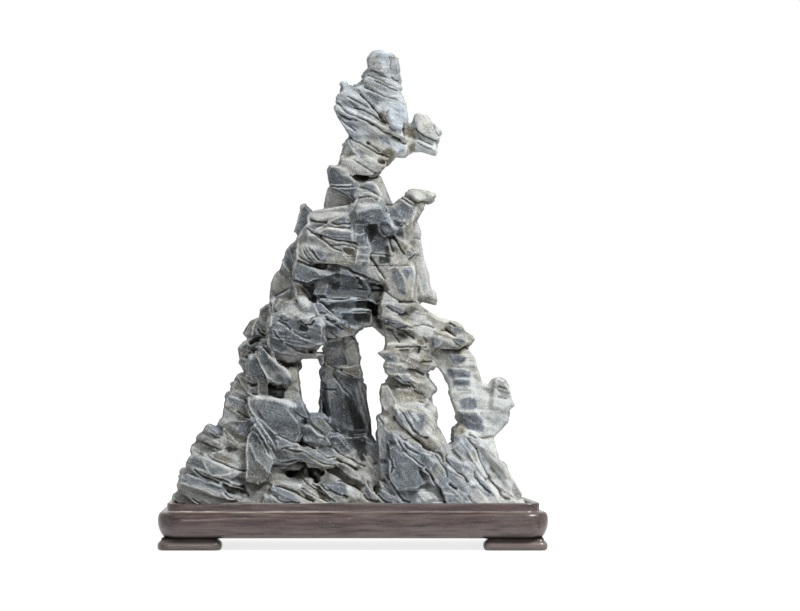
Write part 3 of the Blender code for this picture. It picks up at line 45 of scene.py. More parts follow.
# The camera: level, in front of the object and a little to its right.
CAMERA_X = 15.0
CAMERA_Y = -952.0
CAMERA_Z = 77.5
SENSOR = 36.0
FRAME_WIDTH = 800
FOCAL_PIXELS = 2948

# The stone's skin, and how it is searched for what the camera sees.
NET_SIZE = 0.31
STONE_PIECES = ("stone_foot", "stone_legs", "stone_waist", "stone_shoulders", "stone_head")
SEED = 11
LIP_INSET = 5.9
SIGHT_CELL = 0.7
SIGHT_DEPTH = 4.0
SIGHT_MARGIN = (200, 20)
CELLS_IN_ROW = 1000

# Small leaves of stone between the solid's slabs: each one's front and back Y, and its outline.
ADDED_LEAVES = [
    (-3, 5, [(-21, 32), (-19, 36.5), (-14.5, 36), (-13.5, 33), (-15, 30.5), (-19, 30)]),
    (-7, 3, [(-17, 64.2), (-12, 66), (-10.9, 65), (-11.6, 63.2), (-14, 63)]),
]

# Blends of noise: each row says how much, how large the features are, and which seed after SEED.
STRATA_SWAY = [(0.9, 9.0, 0), (0.25, 3.0, 1)]
GROOVE_PRESENCE = [(1.0, 6.0, 2)]
SWELL = [(0.35, 7.0, 3), (0.12, 2.4, 4)]
GRAIN = [(0.035, 0.8, 5)]
CLOUDS = [(0.13, 5.0, 6), (0.1, 1.7, 7)]
WARM_CLOUDS = [(0.3, 6.0, 8)]
WANDER_X = [(0.22, 1.8, 20)]
WANDER_Z = [(0.22, 1.8, 21)]
WEAR = [(0.5, 1.1, 22)]
BOARD_WAVES = [(0.1, 9.0, 30)]
BOARD_DENTS = [(0.06, 3.0, 31)]
LEDGE_WAVES = [(0.3, 17.0, 32)]
FOOT_DENTS = [(0.12, 3.5, 33)]
BACK_SWELL = [(1.1, 7.0, 40), (0.5, 3.2, 41)]
BACK_BENDS = [[(1.0, 10.0, 42)], [(1.0, 7.0, 43)]]
BACK_BREAKS = [[(1.0, 5.0, 46)], [(1.0, 5.0, 47)]]
BACK_FACES = [(1.0, 8.0, 50)]

# How the strata are laid: how sharply one region gives way to the next, how far layers lean to the back,
# the shift between two regions' layers, how many layers have draws of their own (a power of two), how
# wide a groove is and how much lighter a layer that stands out is.
REGION_BLEND = 6.0
LEAST_WEIGHT = 0.02
STRATA_LEAN = 0.12
LEVEL_SHIFT = 7.3
DRAWN_LAYERS = 512
GROOVE_WIDTH = 0.32
LAYER_TONE = 0.09

# Relief: a facet of pale stone stands out, one of dark stone lies back, and the layers and swells show
# less on the front, which has marks of its own.
PALE_FACET = 0.12
DARK_FACET = -0.15
FRONT_SHARE = 0.55
BACK_SHARE = 1.6
# The painted shade laid along cracks: black, and neither warm nor cold.
PAINTED_CRACK_SHADE = (0.0, 0.0)
WORN_LIGHT = 0.8

# The stand: the board's sizes are those of its solid, and profiles are (outset, height) points.
RIM_HALF_LENGTH = 59.0
RIM_HALF_DEPTH = 21.0
CORNER_RADIUS = 5.0
LIP_WIDTH = 2.6
FRONT_SWAY = 0.7
RIGHT_END_SLANT = 5.0
BELLY_BULGE = 3.0
SLANT_START = (CORNER_RADIUS + BELLY_BULGE) / (2 * (RIM_HALF_DEPTH + BELLY_BULGE))
BOARD_PROFILE = [
    (-2.0, 3.92), (0.2, 3.92), (0.75, 4.02), (1.25, 4.4), (1.85, 5.2), (2.35, 6.2), (2.7, 7.2), (2.9, 8.2),
    (2.98, 9.2), (2.95, 10.0), (2.82, 10.7), (2.6, 11.3), (2.35, 11.7), (1.9, 11.97), (1.3, 12.12),
    (0.75, 12.2), (0.3, 12.28), (0.05, 12.42), (-0.02, 12.6), (0.0, 13.0), (0.0, 13.6), (0.0, 14.2),
    (-0.03, 14.55), (-0.12, 14.8), (-0.3, 14.94), (-0.6, 15.0), (-1.4, 14.96), (-2.1, 14.98),
    (-2.5, 14.9), (-2.6, 14.6), (-2.6, 13.8), (-2.6, 13.0),
]
FEET = {
    "foot_front_left": (-61.8, -41.4, -16.5),
    "foot_front_right": (41.4, 61.8, -16.5),
    "foot_back_left": (-61.8, -47.3, 16.5),
    "foot_back_right": (43.13, 57.63, 16.5),
}
FOOT_DEPTH = 9.0
FOOT_RADIUS = 2.5
FOOT_PROFILE = [
    (-1.5, 0.0), (-0.8, 0.0), (-0.45, 0.12), (-0.2, 0.4), (-0.06, 0.8), (0.0, 1.3), (-0.04, 1.75),
    (-0.15, 2.15), (-0.4, 2.5), (-0.8, 2.85), (-1.1, 3.2), (-1.25, 3.6), (-1.35, 3.9), (-2.2, 3.9),
]
FOOT_FLAT_ENDS = (0.1, 3.8)
CREASE_ANGLE = math.radians(50)

# Places on the stand, for its shades: the ledge and rim that hold dust and a painted highlight, the middle
# of the feet where a painted highlight line runs, and the gap between the board and the feet, painted dark
# as shade, which starts at their inner ends.
LEDGE_Z = 12.3
RIM_Z = 15.0
FOOT_HIGHLIGHT_Z = 2.3
GAP_Z = 4.1
GAP_END_X = 40.6

# Each kind of stone: how light it is, and how warm.
TONES = {
    # Black painted shadow, where the stone lies in shade.
    "painted_shadow": (0.0, -0.3),
    "deep": (0.19, -0.9),
    "slate": (0.28, -0.9),
    # Olive dirt, laid in some pockets also as painted shade.
    "earth_and_shade": (0.31, 0.6),
    # Olive stone darkened with painted shade, for regions on the left, away from the key.
    "shaded_olive": (0.36, -0.2),
    "grey": (0.46, -0.1),
    "tan": (0.58, 0.1),
    "ash": (0.59, -0.5),
    "cream": (0.84, -0.15),
    "frost": (0.84, -0.8),
}

# The brightness of the stone by how light it is, and its tints where it is cold and where it is warm.
STONE_SHADES = [(0, 0.002), (0.17, 0.024), (0.26, 0.053), (0.46, 0.122), (0.75, 0.232), (1, 0.36)]
COLD_TINT = (0.89, 1.0, 1.11, 1)
WARM_TINT = (1.09, 1.0, 0.77, 1)

# The wood's colours.
DARK_GRAIN = (0.01, 0.004, 0.004, 1)
PALE_GRAIN = (0.052, 0.031, 0.028, 1)
# Paler wood for rubbed patches, and for the painted reflection and highlight.
RUBBED_AND_LIT_WOOD = (0.09, 0.072, 0.066, 1)
WOOD_SPECKS = (0.3, 0.28, 0.26, 1)
# The dust on the ledge and rim, which also stands for a painted highlight.
PALE_DUST_AND_HIGHLIGHT = (0.38, 0.34, 0.28, 1)
DEEP_SHADE = (0.001, 0.001, 0.001, 1)
WOOD_GLOSS = 0.36

# Strata round a place of the front: its x, z and reach, the layers' dip in degrees and thickness, how far
# layers step and how deep grooves cut between them, and which kind of stone they are.
STRATA = [
    (-50, 18, 9, -24, 3.2, 0.35, 0.6, "grey"),
    (-45, 32, 9, -32, 2.6, 0.35, 0.5, "grey"),
    (-38, 47, 8, -38, 2.6, 0.35, 0.5, "shaded_olive"),
    (-30, 27, 7, -58, 2.4, 0.1, 0.25, "shaded_olive"),
    (-18, 22, 10, -26, 1.7, 0.35, 0.6, "grey"),
    (-8, 17, 8, -34, 1.8, 0.35, 0.6, "grey"),
    (5, 22, 7, -50, 2.2, 0.3, 0.5, "grey"),
    (16, 26, 8, -50, 3.2, 0.2, 0.4, "slate"),
    (22, 40, 8, -48, 2.0, 0.35, 0.6, "tan"),
    (32, 22, 9, -52, 2.2, 0.35, 0.6, "ash"),
    (46, 22, 9, -52, 2.6, 0.35, 0.5, "cream"),
    (-26, 40, 8, -12, 4.0, 0.15, 0.25, "deep"),
    (-25, 57, 7, -44, 2.4, 0.35, 0.55, "grey"),
    (-19, 70, 8, -14, 2.0, 0.4, 0.6, "grey"),
    (-34, 64, 7, -24, 2.4, 0.3, 0.5, "shaded_olive"),
    (-22, 84, 8, -58, 2.8, 0.3, 0.4, "shaded_olive"),
    (-4, 44, 9, -76, 5.0, 0.1, 0.15, "deep"),
    (-2, 61, 6, -14, 2.2, 0.25, 0.45, "grey"),
    (14, 70, 8, -14, 2.0, 0.4, 0.6, "tan"),
    (17, 58, 7, -24, 1.8, 0.4, 0.6, "tan"),
    (12, 48, 5, -74, 2.2, 0.25, 0.5, "tan"),
    (31, 67, 7, -22, 2.2, 0.3, 0.45, "tan"),
    (35, 53, 8, -4, 2.8, 0.15, 0.2, "cream"),
    (45, 44, 8, -14, 3.4, 0.15, 0.2, "cream"),
    (-6, 82, 9, -6, 2.8, 0.3, 0.5, "slate"),
    (-8, 95, 9, -10, 2.3, 0.35, 0.55, "grey"),
    (12, 92, 7, -68, 2.6, 0.3, 0.45, "grey"),
    (8, 103, 7, -24, 2.6, 0.25, 0.35, "slate"),
    (19, 90, 8, -76, 2.8, 0.25, 0.4, "tan"),
    (18, 108, 6, -42, 1.8, 0.3, 0.45, "tan"),
    (-4, 113, 7, -16, 2.2, 0.25, 0.4, "grey"),
    (5, 113, 6, -62, 2.4, 0.2, 0.3, "grey"),
    (3, 124, 7, -28, 2.2, 0.25, 0.45, "tan"),
    (0, 138, 9, -30, 1.7, 0.35, 0.6, "ash"),
    (12, 139, 7, -26, 3.0, 0.15, 0.3, "cream"),
    (9, 149, 6, -20, 1.9, 0.25, 0.5, "ash"),
    (9, 156, 6, -12, 3.4, 0.12, 0.2, "ash"),
    (21, 130, 6, -24, 1.5, 0.35, 0.55, "cream"),
    (24, 136, 5, -52, 2.6, 0.2, 0.3, "cream"),
]


def pairs(flat):
    """The (x, z) points of a path that is given as x, z, x, z and so on."""
    return list(zip(flat[::2], flat[1::2]))


def crack(depth, width, *path):
    """A crack on the front, painted dark as shade along its line: how deep it cuts, how wide it is, and x
    and z of each point of its path.
    """
    return "crack", depth, width, pairs(path)


def ridge(height, width, *path):
    """A worn pale ridge or vein on the front: how far it stands out, how wide it is, and its path."""
    return "ridge", height, width, pairs(path)


def facet(tone, *path):
    """A face of bare stone on the front: its tone, and x and z of each corner of its outline."""
    return "facet", tone, 0.3, pairs(path)


def pit(width, x, z):
    """A small round pit in the front, painted dark as shade."""
    return crack(0.7, width, x, z, x + 0.05, z)


# The black facets paint shadow where the stone lies in shade.
painted_shadow = partial(facet, "painted_shadow")
deep = partial(facet, "deep")
slate = partial(facet, "slate")
# The olive facets are dirt, and in some pockets painted shade.
earth_and_shade = partial(facet, "earth_and_shade")
grey = partial(facet, "grey")
tan = partial(facet, "tan")
cream = partial(facet, "cream")
frost = partial(facet, "frost")

# The left end of the base: long leaves that dip to the right.
BASE_LEFT = [
    crack(1.0, 0.35, -51.5, 24.4, -49.2, 22.2, -43.9, 20.3),
    crack(1.1, 0.4, -42.2, 19.5, -39.6, 18.4, -37.5, 17.9, -35.5, 16.8, -34.5, 16.5),
    crack(0.9, 0.35, -43.9, 21.4, -37.9, 19.3, -36, 18.8),
    crack(1.8, 0.8, -35.5, 19, -35.2, 17.8, -34.5, 16.3),
    crack(1.1, 0.4, -41.3, 17.1, -40, 15.8, -36.2, 14.8),
    crack(0.8, 0.35, -52, 14.9, -50.5, 13.9, -49.2, 13.3),
    crack(0.8, 0.3, -58, 13.9, -56.5, 13.4, -54.5, 13.3),
    crack(0.7, 0.3, -49.2, 33.5, -46.6, 32.1, -44.3, 31.4, -42.8, 30.8),
    crack(0.6, 0.3, -46, 36, -44.5, 34.8, -43.3, 34.5),
    crack(0.8, 0.3, -47, 29.5, -45.8, 28.2, -40, 25.7, -37.9, 25, -34.9, 24.2),
    slate(-55.8, 23.6, -51, 23.6, -45, 21, -38.5, 17.6, -37, 16.4, -41, 16.6, -48, 18.8, -55.5, 20.6),
    grey(-55.5, 18.6, -51, 17.6, -47.5, 16.6, -47, 14.6, -50, 15, -53, 16.4),
    grey(-57.8, 16, -56.4, 18, -54, 17, -51.5, 15, -53, 14, -57.6, 14.2),
    slate(-47, 25.3, -44, 25, -40.5, 23.8, -41, 23.1, -45.8, 23.1),
    slate(-43.5, 22, -40, 22, -36.5, 21, -36, 20, -39, 20, -43, 21.3),
    slate(-53, 27.5, -51.5, 29.3, -50, 28, -48.6, 26.3, -48, 24.5, -50, 25, -52.5, 26.5),
    slate(-46.8, 39.6, -44, 39.5, -42.3, 38, -42, 36, -43.5, 35.7, -46, 36.5),
    slate(-37.5, 39.5, -33.5, 39.5, -33, 37.5, -34.5, 35.8, -37.5, 36.5),
    earth_and_shade(-45, 29.8, -42, 29, -39.3, 27.5, -41, 26.4, -46, 28.4),
    tan(-52, 33, -49.5, 32.8, -49.6, 30.6, -52.3, 31.3),
    painted_shadow(-50.3, 30.3, -49, 30.2, -48.2, 28.8, -49.5, 29.1),
    painted_shadow(-41.5, 31.2, -40.3, 32.2, -38.5, 31.8, -37, 31.2, -38, 30.2, -40.5, 30),
    cream(-38.5, 24, -36, 23.8, -34.8, 22, -36, 21.5, -38, 22.5),
    cream(-37, 33, -34.2, 33.5, -34.2, 32, -37, 31.8),
    cream(-43.3, 35, -41.5, 35.5, -41.3, 33, -42.3, 31.5, -43, 33),
    ridge(0.4, 0.35, -41.8, 37.8, -41.7, 36, -41.2, 34, -41.4, 32, -42.3, 31),
    ridge(0.4, 0.35, -41.8, 37.9, -40.3, 36, -38.5, 34, -37, 32.7),
    ridge(0.5, 0.35, -31.7, 39.2, -33, 38, -33, 36.5, -34, 35, -34.3, 30, -34.3, 26, -34.7, 22),
    ridge(0.3, 0.3, -42, 30.5, -45.7, 29.7),
    ridge(0.4, 0.4, -53.7, 23, -50, 21.4, -47, 20.3, -43.5, 19.3, -41, 18),
    ridge(0.3, 0.3, -56, 20.2, -52, 19, -48.5, 17.8, -42.3, 15.5),
    ridge(0.4, 0.3, -49, 27.7, -47.4, 24.3, -46, 23, -43, 21.8, -37, 19.6),
    ridge(0.3, 0.3, -46, 22.8, -43, 22.5, -39, 23.3, -38, 24),
    ridge(0.3, 0.3, -51, 25, -49, 24.3, -47, 23.2),
    ridge(0.4, 0.6, -48.5, 28, -46, 27.2, -40, 24.6),
    ridge(0.3, 0.6, -48.8, 35.3, -47, 35, -45, 34, -43.8, 33.2),
    ridge(0.3, 0.4, -52, 30.3, -50, 28.5, -48.3, 28.4),
]

# The net of pale ridges over the grey face left of the dark block.
PITTED_FACE = [
    ridge(0.4, 0.3, -32, 42.2, -25, 36, -24, 35),
    ridge(0.4, 0.3, -33.2, 43.8, -31, 40.5, -29.5, 38, -26, 33, -25, 31),
    ridge(0.4, 0.3, -31.9, 39, -30.5, 37.3, -29, 35, -27.5, 32.5, -25.5, 28.5),
    ridge(0.4, 0.3, -32.5, 36.8, -31, 35.7, -28.8, 31.8, -27.8, 29.5, -26.5, 28),
    ridge(0.3, 0.3, -31.7, 39.2, -32.2, 37.2, -33.8, 35),
    ridge(0.3, 0.25, -31.5, 27.5, -30, 26.3, -28, 24.5, -26.3, 22.8),
    ridge(0.25, 0.25, -33.5, 33, -31.5, 28, -30.7, 27),
    ridge(0.4, 0.35, -34, 47.5, -33.8, 45.5, -32.8, 43.5, -31.7, 41.7),
    crack(0.5, 0.3, -31, 43.2, -30, 41.8, -28.5, 40.3),
    crack(0.5, 0.3, -31, 36.5, -29.5, 34, -27.3, 29.5),
    crack(0.5, 0.3, -29.8, 37, -26.8, 31.8),
    pit(0.35, -32.7, 37.4),
    pit(0.4, -31.7, 32),
    pit(0.35, -32.8, 22.8),
    pit(0.35, -30.2, 20.3),
    pit(0.3, -30.5, 33.2),
    pit(0.3, -28.6, 30.2),
    pit(0.3, -29.5, 25.5),
    pit(0.3, -37.4, 36.4),
    pit(0.3, -38.3, 34.6),
    pit(0.3, -33.3, 43.2),
]

# The dark block, the fingers under it and the cave.
DARK_BLOCK = [
    cream(-32.8, 48.2, -27, 48.6, -24, 48.2, -20, 47, -18.5, 45.6, -19.5, 44.3, -21, 44.6, -22.5, 45.8,
        -25, 46.2, -29, 47, -32.5, 47.5),
    tan(-24.5, 50.5, -20.5, 50, -17.5, 49.5, -16.5, 47, -16.5, 45.5, -18.5, 46, -22, 47.3, -25, 48.3),
    slate(-33.6, 47, -31, 46.6, -28, 45.7, -24, 45.2, -19.5, 44.1, -16.5, 39, -17, 36, -16.5, 33.2,
        -20, 33.9, -24.5, 36, -27, 38.2, -29.5, 40.7, -31.5, 43),
    slate(-19.5, 44.3, -17.8, 46.3, -16, 45.5, -14.8, 43.5, -14.8, 42, -15.3, 40.8, -17, 41.5, -19, 43),
    crack(0.4, 0.3, -19.3, 43.8, -19, 43, -17, 41.5, -15.3, 40.7, -15.8, 39.2),
    ridge(0.3, 0.8, -32, 47.9, -25, 47, -22, 46.4, -19.7, 45.4, -18.6, 44.8),
    cream(-25, 47.3, -22, 46.9, -19, 45.4, -18.6, 44.8, -20.5, 45, -24, 46),
    crack(0.8, 0.3, -25, 35.7, -23, 34.7, -20, 33.5, -17, 32.9, -15.5, 32.5),
    crack(0.8, 0.3, -15.5, 32.5, -13, 31.3, -11, 30.2, -8.5, 28.6, -6, 28.3),
    crack(0.6, 0.3, -23, 31.2, -20, 31.9, -18, 32),
    crack(1.0, 0.35, -22, 31, -19, 30.3, -16.5, 30.1, -13, 28, -11, 27),
    crack(1.0, 0.4, -11, 27, -9, 26, -6.5, 25.6, -6, 26),
    crack(3.0, 1.3, -20, 23.6, -17, 24.6, -14, 24.3),
    crack(2.2, 0.9, -21, 23.6, -18.5, 25.8, -15, 25.3, -10.3, 23.8),
    crack(2.0, 0.7, -14, 23.3, -12.6, 22.6, -11.9, 21),
    crack(0.8, 0.3, -25.6, 25.3, -23, 25.2, -21, 25),
    crack(0.9, 0.35, -24.5, 27, -23, 26.5, -17, 27.2),
    crack(0.7, 0.3, -27.3, 18, -26, 16.2, -24.5, 15, -22.5, 13.9, -17.5, 13.8),
    crack(0.9, 0.35, -25.5, 19.6, -20, 17.6, -16, 15.5),
    crack(1.3, 0.55, -15.5, 15.4, -13.2, 14.4),
    crack(0.7, 0.3, -16.6, 18.5, -13.5, 16.9, -11, 15.4, -8.5, 14.2),
    crack(0.7, 0.3, -14, 19.4, -12, 18.2, -9.5, 16.2, -7.5, 14.3),
    crack(0.7, 0.3, -13, 20, -10, 17.6, -8, 15.5, -6, 14.2),
    crack(0.6, 0.3, -16.8, 22.2, -15.5, 20.5, -14.6, 19.8),
    crack(0.6, 0.3, -16.8, 17.4, -15.3, 16.2, -13.5, 15.4),
    crack(0.8, 0.3, -10.8, 19.9, -9, 18.4, -7, 17.5, -2, 15.6),
    crack(0.7, 0.3, -14.6, 40.6, -12, 38, -10, 36.2),
    slate(-24.7, 34.3, -24, 32.4, -18.5, 32.2, -22, 33.6),
    ridge(0.4, 0.5, -25, 35.2, -22, 34, -18.5, 32.8, -17.8, 32.3),
    slate(-17, 31.3, -15, 31.4, -8, 28, -5.3, 27.4, -7, 26.3, -10, 27),
    ridge(0.4, 0.4, -15, 32, -9, 28.9, -6, 28),
    slate(-12, 31.2, -8, 31.5, -6.3, 30.3, -5.5, 28.9, -7.5, 28.8, -10, 30),
    slate(-24.5, 30.9, -20, 29.8, -16.5, 29.6, -12, 26.5, -16, 27.6, -24, 28),
    slate(-27, 18.5, -25.3, 19.2, -19, 16, -17.3, 14, -22.3, 14, -24.5, 15.3),
    slate(-11, 20.7, -9, 21.2, -6, 20.4, -2.5, 20, -2.5, 17, -3, 16.3, -6, 17.2, -9, 18.7),
    cream(-24, 18.6, -18, 16.5, -14, 14.7, -17, 14.3, -19, 16.2, -22, 17.7),
    cream(-25.5, 21.3, -22, 21, -19, 20.5, -16.8, 20, -16.5, 18.5, -18.2, 17.3, -21, 18.4),
    cream(-14.5, 21.8, -13, 22.3, -12, 20.5, -11.5, 19, -14.8, 20),
    cream(-11, 22, -9, 23.3, -8.5, 22, -10.8, 21.2),
    cream(-11.8, 34.2, -8.2, 34.5, -7.6, 32.6, -11, 31.9),
    tan(-25.5, 24, -22, 24.2, -21, 22.5, -23, 21.6, -26, 22.2),
    grey(-14.5, 41.5, -8.8, 41.6, -6.8, 38, -8.5, 36, -9.5, 35.8, -11.8, 38),
    ridge(0.3, 0.3, -8, 36.2, -9, 34.8, -8.3, 34, -7.7, 32.7),
    ridge(0.3, 0.6, -16.4, 39, -14, 38.2, -11.5, 35.8, -8.8, 34.6),
]

# Between the back leg and the base's long dark facet.
BASE_MIDDLE = [
    crack(1.3, 0.6, -10, 44.5, -8.4, 40.5),
    crack(0.9, 0.35, -8.4, 40.5, -6.8, 38.2, -5, 36.8, -3.5, 34.5, -2.1, 32.8),
    crack(0.8, 0.3, -6.3, 31.3, -3.9, 29.5, -0.7, 28, 2.5, 26.3, 3.6, 25.4),
    crack(1.2, 0.45, -5.3, 27.6, -2.5, 26.1, 1.2, 24.4),
    crack(0.8, 0.35, -4.8, 21.1, -2.5, 20.6, 0.5, 19.4, 2.5, 17.7),
    crack(0.6, 0.3, 4.6, 20.5, 5.3, 18.6, 6.6, 17.6),
    crack(0.9, 0.35, 3.2, 16.3, 4.5, 14.9, 5.8, 14.2, 8, 14.2),
    crack(0.9, 0.35, 6.9, 18.4, 7.6, 16.6, 9.2, 14.8, 10.3, 14, 12, 13.9),
    crack(0.6, 0.3, 8, 41.5, 9.5, 39.5),
    crack(0.8, 0.35, 10.8, 32.5, 11.2, 28.6, 12.4, 27.3, 12.7, 25.5, 12, 23.7),
    crack(0.8, 0.35, 10.6, 22.8, 12, 20, 14, 17.3, 15.8, 14.7, 18, 13.8),
    crack(1.0, 0.4, 12.5, 41.8, 13.2, 40.3, 15, 38.3, 19, 34.8, 23, 32.3),
    crack(1.3, 0.55, 22.8, 32.2, 25.9, 30.8),
    crack(0.9, 0.35, 14.8, 44, 16.3, 42, 17.8, 39.8, 19.2, 37.2, 21, 35.6),
    crack(1.0, 0.5, 20.8, 35.7, 22.6, 34.8, 23.7, 34.5),
    crack(0.6, 0.3, 15, 35.5, 16, 34.3, 17.2, 34.1),
    crack(0.8, 0.3, 16.3, 33, 17.5, 31.5, 19.5, 30.3, 21, 29.8),
    crack(0.8, 0.3, 14.3, 33.5, 16, 31, 18.5, 28.7, 21, 26.6, 22.6, 25.6),
    crack(1.2, 0.5, 23.5, 24.4, 25, 23, 25.8, 21.5),
    crack(0.8, 0.35, 25.8, 21.5, 26.5, 19.8, 27.8, 18, 29.4, 13.8),
    slate(11, 32.3, 12, 33.6, 13.6, 33.5, 14.5, 31.5, 17, 28.8, 19.5, 26.3, 21, 24, 22.5, 22.8, 23.3, 20.5,
        22.5, 18.9, 18, 18.5, 14, 18.6, 12.3, 20.3, 11, 22.8, 12.4, 24.2, 13, 26, 12.3, 27.8, 11.3, 29),
    slate(14.3, 17.6, 20, 17.4, 20.5, 15.5, 19.5, 14.3, 17.5, 14.2, 15.7, 15.6),
    cream(20.8, 17.6, 25, 17.6, 25.5, 15.5, 24, 14.2, 20, 14.2, 21.2, 15.5),
    ridge(0.3, 0.25, 13.2, 18.3, 18, 18, 22, 18, 26, 18.3),
    slate(7, 18.2, 8.2, 17.9, 10, 16.7, 12, 15.2, 13.6, 14.2, 10.8, 14, 9.2, 15.4, 7.8, 17),
    ridge(0.4, 0.4, 7.7, 18.6, 12.5, 15.8, 15.3, 13.9),
    ridge(0.3, 0.35, 9.8, 22.6, 11.6, 20.2, 15.2, 14.6),
    painted_shadow(8, 21.4, 10.3, 21.9, 11.2, 19.6, 9.5, 20.3),
    painted_shadow(6, 26.8, 7.8, 27, 8, 26, 6.3, 25.8),
    painted_shadow(8.2, 27.9, 10.8, 27.3, 11.2, 26.5, 9, 26.6),
    painted_shadow(-1.5, 37, 3.5, 37, 4, 35, 4, 31.5, 4.3, 29, 4, 27.2, 2.5, 27.2, 1, 29, -0.5, 33.5, -1.8, 35),
    slate(-6, 20.4, -4, 20.6, -2.4, 20, -2.5, 18, -2.8, 16.8, -6, 17),
    cream(-2, 19.5, 0.5, 18.8, 2, 17.3, 2.5, 16, 1, 14.5, -2, 16.2),
    cream(3, 24, 5, 23.5, 6.5, 21.5, 6, 20.3, 3.5, 21.5),
    tan(-1, 24.3, 2, 24.3, 4.5, 23.7, 3, 22.5, 0, 22.5),
    ridge(0.4, 0.35, -5.6, 26, -4.5, 24.5, -2.5, 22.8, 0, 21.8, 2.3, 21.1),
    grey(7.8, 42, 9.7, 42.6, 10, 37, 10.8, 30, 9, 28, 7.6, 38),
    earth_and_shade(10.2, 39.8, 11.5, 39.5, 12.9, 37.5, 12.5, 36.5, 11, 37.3),
    slate(12.6, 44, 13.5, 44, 14.5, 41.5, 16.5, 38.6, 18.8, 36, 17, 36.7, 15, 38.4, 13, 40.6),
    ridge(0.3, 0.4, 13.8, 44, 15, 41.5, 17, 38.8, 19.3, 36),
    slate(20.2, 42.9, 23, 42, 22.8, 39.5, 22, 38, 20.3, 39, 20.5, 41),
    slate(16.3, 43.6, 18, 43.6, 18.1, 42, 17.8, 40.8, 17, 41.6),
    slate(18.2, 40.5, 19.9, 39.5, 20, 38, 21.5, 36.1, 19.5, 37.3, 18.3, 39),
    ridge(0.3, 0.3, 16.5, 44, 18.5, 41, 19.8, 38, 21.5, 35.9),
    ridge(0.3, 0.3, 10, 38, 11, 36.8, 13, 35.5, 14.5, 32.5, 16.5, 30.3, 22, 25.2),
    ridge(0.3, 0.3, 15, 36.6, 18.5, 34.8, 23.5, 31.7),
    ridge(0.3, 0.3, 17, 33.4, 18.8, 31.8, 21.5, 30.2, 24, 29.3),
]

